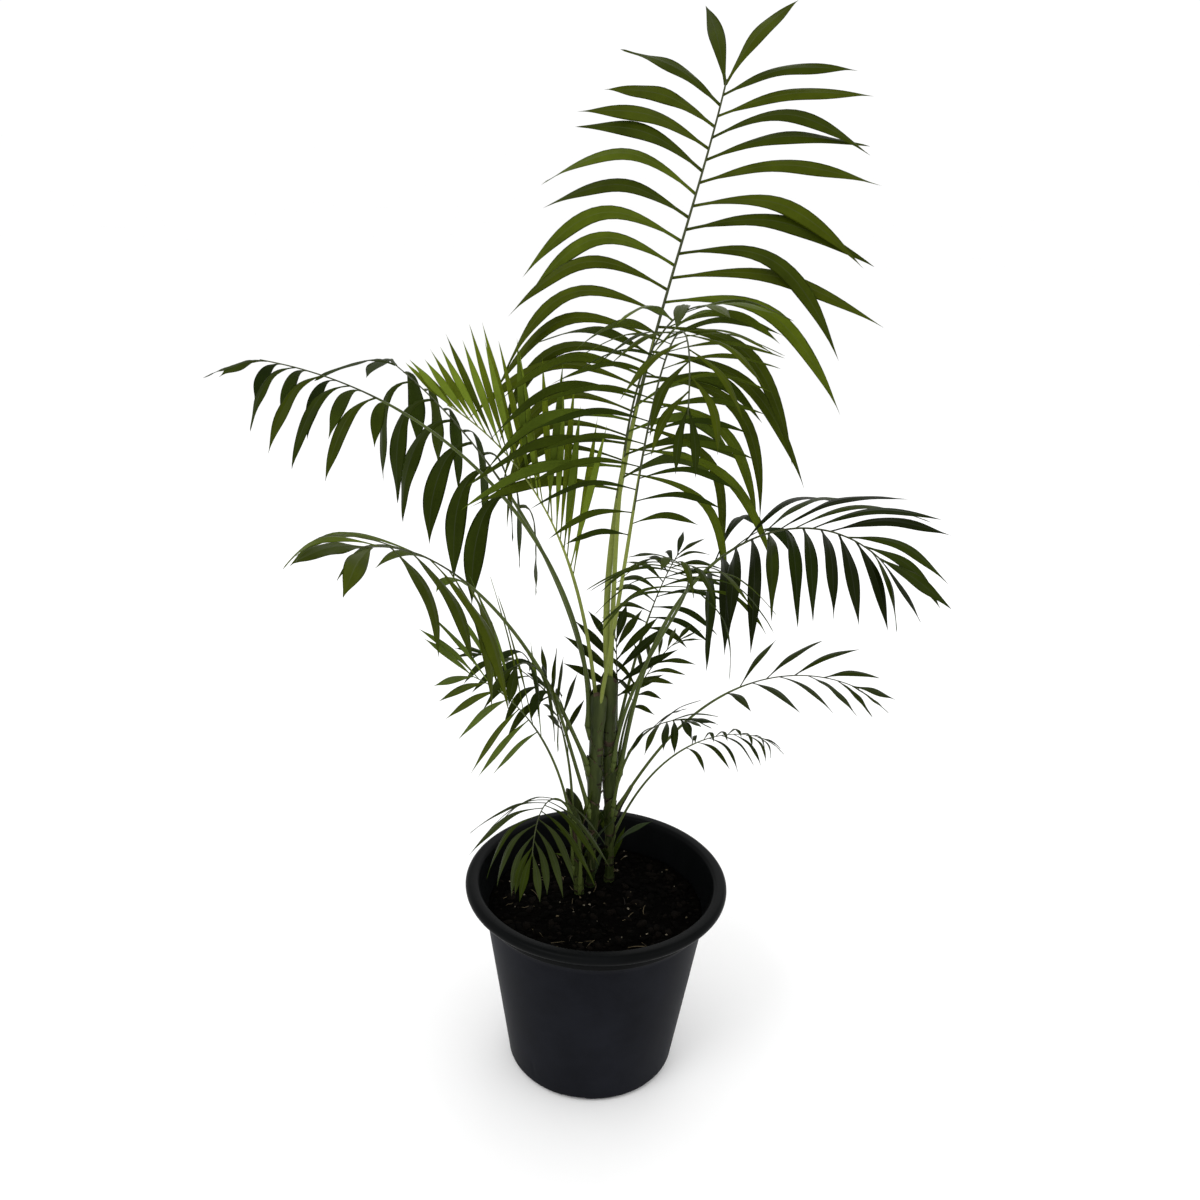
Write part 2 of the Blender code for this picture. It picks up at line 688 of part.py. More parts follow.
for leftover in list(bpy.data.objects):
    bpy.data.objects.remove(leftover)
make_pot()
make_soil()
make_plant()
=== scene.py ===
"""Looks of the potted parlour palm, in metres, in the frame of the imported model."""
import math
import random
import bpy
import bmesh
from mathutils import Matrix, Quaternion, Vector, noise
from mathutils.bvhtree import BVHTree


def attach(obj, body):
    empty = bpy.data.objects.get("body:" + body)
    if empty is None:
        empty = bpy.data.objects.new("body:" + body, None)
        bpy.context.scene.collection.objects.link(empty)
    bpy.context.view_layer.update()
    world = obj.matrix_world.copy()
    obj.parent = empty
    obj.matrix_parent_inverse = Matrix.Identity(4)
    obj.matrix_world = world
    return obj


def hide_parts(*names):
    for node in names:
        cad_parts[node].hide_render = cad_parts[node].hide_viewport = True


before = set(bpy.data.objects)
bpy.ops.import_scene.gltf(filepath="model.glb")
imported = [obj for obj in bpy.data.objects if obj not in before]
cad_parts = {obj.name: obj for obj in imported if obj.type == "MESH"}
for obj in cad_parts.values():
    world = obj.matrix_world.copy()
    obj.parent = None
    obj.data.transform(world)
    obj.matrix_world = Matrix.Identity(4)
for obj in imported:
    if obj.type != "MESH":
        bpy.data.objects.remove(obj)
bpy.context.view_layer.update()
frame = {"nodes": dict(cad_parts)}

# Camera at the photo's angle
CAMERA_PLACE = (0.040, -1.1735, 1.036)
CAMERA_DOWN = 21.2
CAMERA_TURN = -2.33
CAMERA_ROLL = 2.14
CAMERA_LENS = 36.0
CAMERA_SENSOR = 36.0

# Clearance between neighbouring solids
GAP = 0.0003
DOWN = Vector((0.0, 0.0, -1.0))
UP = Vector((0.0, 0.0, 1.0))

# Pot: a squat 300 mm nursery pot
POT_HEIGHT = 0.240
RIM_RADIUS = 0.150
RIM_WIDTH = 0.016
RIM_ROLL = 0.006
SKIRT_DEPTH = 0.029
SKIRT_RADIUS = 0.1335
SKIRT_LEAN = 0.001
SKIRT_TOP = 0.227
WALL = 0.003
WALL_TOP_RADIUS = 0.1285
BASE_RADIUS = 0.097
BASE_CORNER = 0.009
FLOOR = 0.008
# Drain notches round the foot
NOTCH_COUNT = 6
NOTCH_WIDTH = 0.034
NOTCH_HEIGHT = 0.0045
NOTCH_DEPTH = 0.014
NOTCH_TURN = 262.0

# Potting mix
SOIL_TOP = 0.200
SOIL_MOUND = 0.004

# Canes: foot and tip on the plan, tip height, and radii from the foot up: slim, then swollen by sheaths
CANES = {
    "left": dict(
        foot=(-0.020, 0.018), tip=(-0.027, 0.020), top=0.305, radii=(0.0050, 0.0046, 0.0056, 0.0048)),
    "middle": dict(
        foot=(-0.008, 0.033), tip=(-0.007, 0.036), top=0.427, radii=(0.0048, 0.0050, 0.0080, 0.0064)),
    "right": dict(
        foot=(0.014, 0.047), tip=(0.005, 0.049), top=0.442, radii=(0.0052, 0.0050, 0.0082, 0.0068)),
}
CANE_SHARES = (0.0, 0.30, 0.68, 1.0)
CANE_FLARE = 1.35
FLARE_HEIGHT = 0.020

# Stub of a cut petiole
STUB = dict(cane="right", height=0.297, seat=20, rise=62, length=0.036, radii=(0.0030, 0.0024))

# Petioles, ribs and leaflets
PETIOLE_RINGS = 8
CROWN_OFFSET = 0.0041
RIB_TIP_SHARE = 0.40
LEAF_THICKNESS = 0.0019
LEAF_THICKEST = 0.0108
LEAF_STEPS = 12
LEAF_NECK = 0.20
LEAF_PEAK = 1.15
LEAF_ROLL = 22
ELBOW = 0.5
ELBOW_WIDTH = 0.17
EVEN_BEND = 0.30
CURVE_STEPS = 48
SEED = 7

# Fronds. cane, height and seat: where it leaves, seat being its side of the cane;
# heading: turn from +X seen from above; rise: slope at the foot; bend: how far it has arched over
# by the tip; late: how late it does so; veer: sideways turn by the tip; twist: the blade's own turn
# about its rib; bare and blade: lengths without and with leaflets; rib: radius at the foot;
# pairs, leaflet and width: the leaflets; fan: their angle off the rib, first and last;
# lift: above the blade; droop: turned down by the tip, most of it at the elbow's share of the length;
# first and last: length of the end leaflets as a share; slim: width of the first ones as a share;
# loose: least share of the droop; tip_twist and tip_droop: the twist and droop at the tip, if others.
FRONDS = {
    "tall": dict(
        cane="right", height=0.4423, seat=90, heading=13, rise=97, bend=46, late=1.0, veer=63, twist=62,
        rib=0.0040,
        bare=0.255, blade=0.440, pairs=17, leaflet=0.228, width=0.0175, fan=(82, 50), lift=5, droop=105,
        tip_twist=0, elbow=0.48, first=1.0, slim=0.52, last=0.62, loose=0.45, tip_droop=50),
    "front_high": dict(
        cane="right", height=0.4423, seat=270, heading=305, rise=90, bend=82, late=3.9, veer=0, twist=0,
        rib=0.0031,
        bare=0.240, blade=0.260, pairs=10, leaflet=0.180, width=0.014, fan=(82, 38), lift=12, droop=62,
        elbow=0.55, first=0.85, loose=0.6),
    "bright_upright": dict(
        cane="middle", height=0.4273, seat=90, heading=201, rise=82, bend=50, late=1.8, veer=4, twist=0,
        rib=0.0026,
        bare=0.165, blade=0.245, pairs=11, leaflet=0.168, width=0.0078, fan=(30, 16), lift=75, droop=0,
        last=0.35, first=0.95),
    "left_back": dict(
        cane="middle", height=0.405, seat=130, heading=150, rise=91, bend=73, late=0.7, veer=-11, twist=0,
        rib=0.0028,
        bare=0.262, blade=0.263, pairs=7, leaflet=0.150, width=0.024, fan=(80, 50), lift=0, droop=125,
        elbow=0.2, first=0.9, last=0.85),
    "left_far": dict(
        cane="middle", height=0.415, seat=190, heading=165, rise=91, bend=84, late=0.9, veer=18, twist=0,
        rib=0.0028,
        bare=0.430, blade=0.148, pairs=5, leaflet=0.118, width=0.0145, fan=(60, 35), lift=-15, droop=70,
        elbow=0.3),
    "left_front_high": dict(
        cane="middle", height=0.370, seat=215, heading=205, rise=67, bend=55, late=1.6, veer=49, twist=-18,
        rib=0.0027,
        bare=0.275, blade=0.200, pairs=6, leaflet=0.165, width=0.019, fan=(85, 70), lift=-5, droop=65,
        elbow=0.6, first=0.4),
    "left_low": dict(
        cane="left", height=0.245, seat=222, heading=220, rise=89, bend=57, late=1.0, veer=19, twist=-55,
        rib=0.0019,
        bare=0.185, blade=0.165, pairs=7, leaflet=0.15, width=0.0072, fan=(50, 14), lift=5, droop=14),
    "left_front_low": dict(
        cane="middle", height=0.315, seat=235, heading=202, rise=73, bend=79, late=4.3, veer=49, twist=-12,
        rib=0.0026,
        bare=0.155, blade=0.110, pairs=5, leaflet=0.092, width=0.012, fan=(80, 60), lift=0, droop=100,
        elbow=0.25),
    "right_large": dict(
        cane="right", height=0.350, seat=343, heading=9, rise=83, bend=108, late=1.9, veer=-63, twist=20,
        rib=0.0030,
        bare=0.275, blade=0.235, pairs=11, leaflet=0.148, width=0.0122, fan=(62, 16), lift=12, droop=100,
        tip_droop=45, first=0.95, last=0.55, loose=0.5, slim=1.45),
    "right_front": dict(
        cane="right", height=0.370, seat=300, heading=351, rise=86, bend=62, late=0.9, veer=-110, twist=0,
        rib=0.0023,
        bare=0.275, blade=0.135, pairs=8, leaflet=0.110, width=0.0085, fan=(80, 15), lift=5, droop=65,
        first=0.9),
    "back": dict(
        cane="right", height=0.365, seat=75, heading=70, rise=63, bend=33, late=2.0, veer=-9, twist=0,
        rib=0.0023,
        bare=0.150, blade=0.110, pairs=8, leaflet=0.090, width=0.0075, fan=(75, 25), lift=0, droop=50),
    "front_tall": dict(
        cane="middle", height=0.4273, seat=270, heading=315, rise=79, bend=190, late=5.0, veer=-44, twist=0,
        rib=0.0025, bare=0.225, blade=0.395, pairs=15, leaflet=0.120, width=0.0078, fan=(75, 40), lift=5,
        droop=45),
    "right_low": dict(
        cane="right", height=0.302, seat=0, heading=-4, rise=63, bend=83, late=2.0, veer=-12, twist=15,
        rib=0.0020,
        bare=0.195, blade=0.158, pairs=5, leaflet=0.092, width=0.0085, fan=(50, 20), lift=15, droop=30),
    "right_small": dict(
        cane="right", height=0.267, seat=35, heading=31, rise=63, bend=87, late=1.5, veer=-23, twist=0,
        rib=0.0016,
        bare=0.130, blade=0.105, pairs=7, leaflet=0.06, width=0.0055, fan=(60, 25), lift=0, droop=70),
    "front_low": dict(
        cane="left", height=0.220, seat=285, heading=224, rise=91, bend=135, late=1.5, veer=48, twist=0,
        rib=0.0019,
        bare=0.165, blade=0.110, pairs=8, leaflet=0.098, width=0.0082, fan=(75, 25), lift=0, droop=60,
        elbow=0.35),
    "short_upright": dict(
        cane="left", height=0.3053, seat=165, heading=165, rise=88, bend=25, late=1.2, veer=0, twist=0,
        rib=0.0019,
        bare=0.095, blade=0.080, pairs=5, leaflet=0.070, width=0.008, fan=(50, 22), lift=15, droop=15),
    "left_inner": dict(
        cane="middle", height=0.357, seat=165, heading=165, rise=72, bend=62, late=1.4, veer=10, twist=0,
        rib=0.0018,
        bare=0.085, blade=0.100, pairs=6, leaflet=0.085, width=0.009, fan=(72, 28), lift=0, droop=60),
    "right_inner": dict(
        cane="right", height=0.397, seat=45, heading=100, rise=86, bend=30, late=1.4, veer=0, twist=0,
        rib=0.0018,
        bare=0.040, blade=0.070, pairs=5, leaflet=0.080, width=0.010, fan=(55, 20), lift=15, droop=12),
    "right_thin": dict(
        cane="right", height=0.365, seat=15, heading=30, rise=84, bend=55, late=1.5, veer=0, twist=0,
        rib=0.0016,
        bare=0.062, blade=0.100, pairs=7, leaflet=0.062, width=0.006, fan=(60, 28), lift=15, droop=35),
    "right_near": dict(
        cane="right", height=0.310, seat=305, heading=320, rise=82, bend=66, late=1.5, veer=0, twist=0,
        rib=0.0019,
        bare=0.125, blade=0.062, pairs=6, leaflet=0.066, width=0.009, fan=(72, 28), lift=0, droop=40),
}
# Length of the first and last leaflets as a share of the longest
FIRST_LEAFLET = 0.62
LAST_LEAFLET = 0.50
# The two leaflets at the very tip: their angle off the rib and their share of the droop
TIP_FAN = 17
TIP_DROOP = 0.45
# Least share of its droop that a leaflet may have
LEAST_DROOP = 0.80
# Leaflets this long or longer have one ring more
LONG_LEAFLET = 0.100
# Other lifts tried where a leaflet would touch what is there
OTHER_LIFTS = (0, 12, -12, 24, -24)

# Finer leaflets: rings along, places across, fold at the midrib, pleats and wavy edges
FINE_RINGS = 20
FINE_THICKNESS = 0.0005
ACROSS = (-1.0, -0.76, -0.50, -0.26, -0.045, 0.045, 0.26, 0.50, 0.76, 1.0)
BELOW = (0.66, 0.33, 0.0, -0.33, -0.66)
PLEAT = 0.00022
FOLD = (8, 22)
LEAF_TURN = 16
WAVE = (0.02, 0.07)
# Lifts and lengths tried for leaflets that had no room among the solids
SPARE_LIFTS = (0, 9, -9, 18, -18, 27, -27, 38, -38)
SPARE_LENGTHS = (1.0, 0.8, 0.62)
SLIM_HALF = 0.8
SLIM_DEPTH = 0.0007

# Stalks: petiole and rib in one
STALK_SIDES = 14
STALK_RINGS = 72
GROOVE = 0.20
FOOT_LENGTH = 0.030
FOOT_SWELL = 0.45
FOOT_SUNK = 0.018
# The rib is slimmer and darker than the petiole, changing over this share of the blade
RIB_SLIM = 0.38
RIB_CHANGE = 0.30

# Canes: node rings, grooves and sheaths
SKIN_SIDES = 36
SKIN_RINGS = 150
NODE_PITCH = (0.022, 0.034)
NODE_SWELL = 0.0008
NODE_WIDTH = 0.0016
CANE_GROOVE = 0.00016
SHEATH_SIDES = 16
SHEATH_RINGS = 16
SHEATH_LENGTH = 0.052
SHEATH_THICK = 0.0006
CROWN_RISE = 0.034
CROWN_REACH = 0.0086

# Scale leaves round the feet of the canes: how many, and the spans of their sizes, lean and droop
SCALES = {"left": 9, "middle": 8, "right": 9}
SCALE_RISE = (0.004, 0.085)
SCALE_LENGTH = (0.030, 0.072)
SCALE_WIDTH = (0.0060, 0.0105)
SCALE_LEAN = (5, 30)
SCALE_DROOP = (0, 45)
# The scale leaves' shade and deep tones are partly painted shade.
SCALE_TONES = ("shade", "dark", "deep", "mid", "paper")

# Pot
SHELL_SIDES = 240
SLIT_HEIGHT = (0.012, 0.034)
SLIT_DEPTH = 0.0012

# Potting mix
CLODS = 1500
FLECKS = 44
STRAWS = 36

# Colours of the leaves, upper side; the under side is paler and greyer. The darker tones, night, deep and shade most
# of all, are partly painted shade: darker, greyer copies of the green for leaves that sit in shade.
LEAF_COLOURS = {
    "night": (0.0070, 0.0105, 0.0008),
    "deep": (0.0100, 0.0165, 0.0008),
    "shade": (0.0215, 0.0300, 0.0062),
    "dark": (0.0175, 0.0265, 0.0010),
    "mid": (0.0275, 0.0385, 0.0012),
    "olive": (0.0390, 0.0520, 0.0015),
    "light": (0.0560, 0.0780, 0.0035),
    "fresh": (0.0760, 0.1120, 0.0115),
    "bright": (0.1100, 0.1450, 0.0070),
}
PALER = (1.12, 1.18, 2.2)
# Tones dealt out to each frond's leaflets, and the record's slot they take after; fronds that sit in shade are dealt
# the darker tones, as painted shade.
FROND_TONES = {
    "tall": (("olive", "mid", "olive", "light", "mid", "olive", "olive", "mid"), "leaf"),
    "front_high": (("olive", "mid", "olive", "light"), "leaf"),
    "bright_upright": (("bright", "light", "bright"), "leaf_bright"),
    "left_far": (("dark", "deep", "mid"), "leaf_dark"),
    "left_back": (("dark", "mid", "dark"), "leaf_dark"),
    "left_front_high": (("olive", "mid", "olive", "light"), "leaf"),
    "left_front_low": (("dark", "mid", "deep"), "leaf_dark"),
    "right_large": (("deep", "night", "dark", "night"), "leaf_dark"),
    "right_front": (("dark", "mid"), "leaf_dark"),
    "back": (("deep", "dark"), "leaf_dark"),
    "front_tall": (("mid", "dark", "olive"), "leaf"),
    "right_low": (("shade", "dark"), "leaf"),
    "right_small": (("dark", "deep"), "leaf"),
    "left_low": (("fresh", "light", "fresh"), "leaf_bright"),
    "front_low": (("shade", "shade", "dark"), "leaf_dark"),
    "short_upright": (("dark", "deep"), "leaf"),
    "left_inner": (("dark", "deep"), "leaf_dark"),
    "right_inner": (("dark", "deep"), "leaf_dark"),
    "right_thin": (("dark", "mid"), "leaf"),
    "right_near": (("dark", "deep"), "leaf_dark"),
}
STALK_COLOURS = {
    "stalk_green": (0.060, 0.080, 0.018),
    "stalk_pale": (0.175, 0.208, 0.042),
    "stalk_dark": (0.040, 0.048, 0.016),
}
PALE_STALKS = ("tall", "bright_upright", "front_tall", "front_high")
PALE_RIBS = ("bright_upright", "left_low")


def heading_vector(degrees):
    """Level unit vector at a turn from +X."""
    turn = math.radians(degrees)
    return Vector((math.cos(turn), math.sin(turn), 0.0))


def ring_tube(rings):
    """Points and outward faces of a closed tube through rings of equal count, flat at both ends."""
    points = [p for ring in rings for p in ring]
    sides = len(rings[0])
    faces = [tuple(reversed(range(sides)))]
    for k in range(len(rings) - 1):
        for i in range(sides):
            j = (i + 1) % sides
            faces.append((k * sides + i, k * sides + j, (k + 1) * sides + j, (k + 1) * sides + i))
    last = (len(rings) - 1) * sides
    faces.append(tuple(range(last, last + sides)))
    return points, faces


def round_ring(centre, across, over, radius, sides):
    """Points round a centre, counterclockwise seen from the way across x over points."""
    ring = []
    for i in range(sides):
        turn = 2 * math.pi * i / sides
        ring.append(centre + across * (radius * math.cos(turn)) + over * (radius * math.sin(turn)))
    return ring


def arc(centre, radius, start, end, steps):
    """Profile points on an arc, degrees from the outward way."""
    found = []
    for k in range(steps + 1):
        turn = math.radians(start + (end - start) * k / steps)
        found.append((centre[0] + radius * math.cos(turn), centre[1] + radius * math.sin(turn)))
    return found


def wall_radius(height):
    """Outer radius of the pot's wall."""
    skirt_foot = POT_HEIGHT - SKIRT_DEPTH
    return BASE_RADIUS + (WALL_TOP_RADIUS - BASE_RADIUS) * height / skirt_foot


def cane_point(cane, height):
    """A cane's axis at a height."""
    spec = CANES[cane]
    share = (height - SOIL_TOP) / (spec["top"] - SOIL_TOP)
    x = spec["foot"][0] + (spec["tip"][0] - spec["foot"][0]) * share
    y = spec["foot"][1] + (spec["tip"][1] - spec["foot"][1]) * share
    return Vector((x, y, height))


def cane_radius(cane, height):
    """A cane's radius at a height, with its swollen foot."""
    share = min(1.0, (height - SOIL_TOP) / (CANES[cane]["top"] - SOIL_TOP))
    radii = CANES[cane]["radii"]
    k = 0
    while k < len(radii) - 2 and share > CANE_SHARES[k + 1]:
        k += 1
    ease = (1 - math.cos(math.pi * (share - CANE_SHARES[k]) / (CANE_SHARES[k + 1] - CANE_SHARES[k]))) / 2
    flare = max(0.0, 1 - (height - SOIL_TOP) / FLARE_HEIGHT)
    return (radii[k] + (radii[k + 1] - radii[k]) * ease) * (1 + (CANE_FLARE - 1) * flare * flare)


def frond_foot(spec):
    """Where a petiole starts: beside its cane, or on the cane's tip."""
    cane = CANES[spec["cane"]]
    way = heading_vector(spec["seat"])
    if spec["height"] > cane["top"]:
        above = spec["height"] - cane["top"]
        return cane_point(spec["cane"], cane["top"]) + way * CROWN_OFFSET + UP * above
    reach = cane_radius(spec["cane"], spec["height"]) + spec["rib"] * 1.3 + GAP
    return cane_point(spec["cane"], spec["height"]) + way * reach


def frond_curve(spec):
    """Points and slopes along a frond, from its foot to its tip."""
    length = spec["bare"] + spec["blade"]
    point = frond_foot(spec)
    curve = []
    for k in range(CURVE_STEPS + 1):
        share = k / CURVE_STEPS
        slope = math.radians(spec["rise"] - spec["bend"] * share ** spec["late"])
        way = heading_vector(spec["heading"] + spec["veer"] * share)
        tangent = way * math.cos(slope) + UP * math.sin(slope)
        over = UP * math.cos(slope) - way * math.sin(slope)
        curve.append((point.copy(), tangent, over))
        point += tangent * (length / CURVE_STEPS)
    return curve


def at_length(spec, curve, distance):
    """Point, tangent and the blade's upper side at a length along a frond."""
    place = distance / (spec["bare"] + spec["blade"]) * CURVE_STEPS
    k = min(int(place), CURVE_STEPS - 1)
    share = place - k
    point = curve[k][0].lerp(curve[k + 1][0], share)
    tangent = curve[k][1].lerp(curve[k + 1][1], share).normalized()
    over = curve[k][2].lerp(curve[k + 1][2], share).normalized()
    length_share = distance / (spec["bare"] + spec["blade"])
    twist = spec["twist"] + (spec.get("tip_twist", spec["twist"]) - spec["twist"]) * length_share
    over = Quaternion(tangent, math.radians(twist)) @ over
    return point, tangent, over


def rib_radius(spec, distance):
    """Radius of petiole and rib, tapering to the frond's tip."""
    share = distance / (spec["bare"] + spec["blade"])
    return spec["rib"] * (1 - (1 - RIB_TIP_SHARE) * share)


def leaflet_shape(share):
    """Width of a leaflet along its length, as a share of its greatest."""
    return max(LEAF_NECK * (1 - share), math.sin(math.pi * share ** LEAF_PEAK) ** (1.0 + 0.5 * share))


def leaflet_width(spec, share):
    """Leaflets are slimmer near the first, where a frond says so."""
    slim = spec.get("slim", 1.0)
    return spec["width"] * (slim + (1 - slim) * min(1.0, 1.8 * share))


def leaflet_length(spec, share):
    """Leaflets are shorter near the first and toward the tip."""
    first = min(1.0, spec.get("first", FIRST_LEAFLET) + 2.2 * share)
    last = 1 - (1 - spec.get("last", LAST_LEAFLET)) * max(0.0, (share - 0.45) / 0.55) ** 1.1
    return spec["leaflet"] * first * last


def leaflet_moods(spec, share, chance):
    """One leaflet's own fan angle, lift, droop, length, elbow, roll and width."""
    fan = spec["fan"][0] + (spec["fan"][1] - spec["fan"][0]) * share ** 1.6 + chance.uniform(-5, 5)
    lift = spec["lift"] + chance.uniform(-7, 7)
    droop = spec["droop"] + (spec.get("tip_droop", spec["droop"]) - spec["droop"]) * share
    droop *= chance.uniform(spec.get("loose", LEAST_DROOP), 1.15)
    length = leaflet_length(spec, share) * chance.uniform(0.93, 1.05)
    if share > 1 - 1 / (2 * spec["pairs"]):
        fan = TIP_FAN
        droop *= TIP_DROOP
    roll = chance.uniform(-LEAF_ROLL, LEAF_ROLL)
    return fan, lift, droop, length, spec.get("elbow", ELBOW), roll, leaflet_width(spec, share)


def bend_shares(elbow):
    """Share of a leaflet's droop at each of its steps: a little all along, most at its elbow."""
    shares = []
    for k in range(LEAF_STEPS):
        away = ((k + 0.5) / LEAF_STEPS - elbow) / ELBOW_WIDTH
        shares.append(EVEN_BEND + math.exp(-away * away))
    return [share / sum(shares) for share in shares]


def leaflet_steps(root, tangent, over, side, moods):
    """Points, width ways and thickness ways along a leaflet, which turns down as it goes."""
    across = tangent.cross(over) * -side
    fan = math.radians(moods[0])
    lift = math.radians(moods[1])
    droop = math.radians(moods[2])
    length = moods[3]
    bends = bend_shares(moods[4])
    roll = math.radians(moods[5]) / LEAF_STEPS
    way = tangent * math.cos(fan) + (across * math.cos(lift) + over * math.sin(lift)) * math.sin(fan)
    wide = (tangent - way * tangent.dot(way)).normalized()
    thick = way.cross(wide).normalized()
    if thick.dot(over) < 0:
        thick = -thick
    steps = []
    point = root.copy()
    for k in range(LEAF_STEPS + 1):
        steps.append((point.copy(), wide.copy(), thick.copy()))
        fall = min(droop * bends[min(k, LEAF_STEPS - 1)], way.angle(DOWN) * 0.45)
        axis = way.cross(DOWN)
        if axis.length > 1e-4:
            turn = axis.normalized()
            spin = Quaternion(turn, fall)
            way = spin @ way
            spin = Quaternion(way, roll) @ spin
            wide = spin @ wide
            thick = spin @ thick
        point = point + way * (length / LEAF_STEPS)
    return steps


def leaf_depth(spec):
    """Half the thickness of a leaflet, more on long ones."""
    return max(LEAF_THICKNESS, spec["leaflet"] * LEAF_THICKEST) / 2


def ring_shares(spec):
    """Where a leaflet has its rings, as shares of its length."""
    return (0.25, 0.5, 0.75) if spec["leaflet"] >= LONG_LEAFLET else (1 / 3, 2 / 3)


def rib_tree(spec, curve):
    """Search tree of a blade's rib."""
    rings = []
    for k in range(PETIOLE_RINGS * 2 + 1):
        distance = spec["bare"] + spec["blade"] * k / (PETIOLE_RINGS * 2)
        point, tangent, over = at_length(spec, curve, distance)
        rings.append(round_ring(point, tangent.cross(over) * -1, over, rib_radius(spec, distance) + GAP, 4))
    return search_tree(*ring_tube(rings))


def touches(shape, others):
    """Whether a shape's surface meets any of the others."""
    return any(near(shape, other) and shape[0].overlap(other[0]) for other in others)


def swollen(spec, steps, width, first):
    """Search tree and bounds of a leaflet, a little larger than it is, from a first share of its length."""
    rings = []
    for share in (first,) + ring_shares(spec) + (1.0,):
        point, wide, thick = steps[round(share * LEAF_STEPS)]
        half = width / 2 * leaflet_shape(share) + 2 * GAP
        if share == 0:
            half = max(half, spec["blade"] / spec["pairs"] / 4)
        deep = leaf_depth(spec) + 2 * GAP
        rings.append([point - wide * half + thick * deep, point + wide * half + thick * deep,
                      point + wide * half - thick * deep, point - wide * half - thick * deep])
    return search_tree(*ring_tube(rings))


def search_tree(points, faces):
    """Search tree of a closed shape with its bounds."""
    low = Vector([min(p[i] for p in points) for i in range(3)])
    high = Vector([max(p[i] for p in points) for i in range(3)])
    return BVHTree.FromPolygons([tuple(p) for p in points], faces), low, high


def near(one, two):
    """Whether two shapes' bounds meet."""
    return all(one[1][i] <= two[2][i] and two[1][i] <= one[2][i] for i in range(3))


def node_tree(node):
    """Search tree of a node's mesh."""
    mesh = node.data
    return search_tree([v.co.copy() for v in mesh.vertices], [tuple(p.vertices) for p in mesh.polygons])


class Batch:
    """Points, faces and material numbers of one piece while it is put together."""

    def __init__(self):
        self.points = []
        self.faces = []
        self.tones = []

    def add(self, points, faces, tones):
        """Adds a shape; tones is one material number or one for each face."""
        start = len(self.points)
        self.points += [tuple(p) for p in points]
        self.faces += [tuple(i + start for i in face) for face in faces]
        self.tones += tones if isinstance(tones, list) else [tones] * len(faces)

    def piece(self, name, materials, slot, *nodes):
        """Makes the object, sets it on the root body and lets it stand for CAD nodes."""
        mesh = bpy.data.meshes.new(name)
        mesh.from_pydata(self.points, [], self.faces)
        for each in materials:
            mesh.materials.append(each)
        mesh.polygons.foreach_set("material_index", self.tones)
        mesh.polygons.foreach_set("use_smooth", [True] * len(self.faces))
        mesh.update()
        piece = bpy.data.objects.new(name, mesh)
        bpy.context.scene.collection.objects.link(piece)
        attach(piece, "root")
        if nodes:
            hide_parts(*nodes)
        return piece


def surface(name, colour, roughness, vary=0.25, scale=40.0, bump=0.2, fine=400.0, reach=0.0003, stretch=(1, 1, 1),
            rough_vary=0.12, specular=0.5, tint=(1, 1, 1), other=None):
    """Procedural surface: colour and roughness wander by one noise, relief follows a finer one."""
    made = bpy.data.materials.new(name)
    made.use_nodes = True
    nodes = made.node_tree.nodes
    links = made.node_tree.links
    shader = nodes["Principled BSDF"]
    shader.inputs["Specular IOR Level"].default_value = specular
    shader.inputs["Specular Tint"].default_value = (*tint, 1)
    place = nodes.new("ShaderNodeTexCoord")
    spread = nodes.new("ShaderNodeMapping")
    spread.inputs["Scale"].default_value = stretch
    links.new(place.outputs["Object"], spread.inputs["Vector"])
    wander = nodes.new("ShaderNodeTexNoise")
    wander.inputs["Scale"].default_value = scale
    wander.inputs["Detail"].default_value = 5.0
    wander.inputs["Roughness"].default_value = 0.6
    links.new(spread.outputs["Vector"], wander.inputs["Vector"])
    ramp = nodes.new("ShaderNodeValToRGB")
    low = [c * (1 - vary) for c in colour]
    high = list(other) if other else [min(1.0, c * (1 + vary)) for c in colour]
    ramp.color_ramp.elements[0].position = 0.34
    ramp.color_ramp.elements[0].color = (*low, 1)
    ramp.color_ramp.elements[1].position = 0.68
    ramp.color_ramp.elements[1].color = (*high, 1)
    links.new(wander.outputs["Fac"], ramp.inputs["Fac"])
    links.new(ramp.outputs["Color"], shader.inputs["Base Color"])
    gloss = nodes.new("ShaderNodeMapRange")
    gloss.inputs["To Min"].default_value = max(0.05, roughness - rough_vary)
    gloss.inputs["To Max"].default_value = min(1.0, roughness + rough_vary)
    links.new(wander.outputs["Fac"], gloss.inputs["Value"])
    links.new(gloss.outputs["Result"], shader.inputs["Roughness"])
    grain = nodes.new("ShaderNodeTexNoise")
    grain.inputs["Scale"].default_value = fine
    grain.inputs["Detail"].default_value = 3.0
    links.new(spread.outputs["Vector"], grain.inputs["Vector"])
    relief = nodes.new("ShaderNodeBump")
    relief.inputs["Strength"].default_value = bump
    relief.inputs["Distance"].default_value = reach
    links.new(grain.outputs["Fac"], relief.inputs["Height"])
    links.new(relief.outputs["Normal"], shader.inputs["Normal"])
    return made


def make_leaf_surfaces():
    """Upper, under and midrib surfaces for every leaf tone."""
    made = {}
    for name, colour in LEAF_COLOURS.items():
        under = [min(1.0, c * p) for c, p in zip(colour, PALER)]
        vein = [c * 0.9 + 0.010 for c in colour]
        made[name] = (
            surface("leaf_" + name, colour, 0.42, vary=0.20, scale=26, fine=900, bump=0.15, specular=0.035),
            surface("under_" + name, under, 0.60, vary=0.16, scale=26, fine=900, bump=0.15, specular=0.025),
            surface("vein_" + name, vein, 0.45, vary=0.12, scale=30, fine=700, bump=0.1, specular=0.035))
    return made


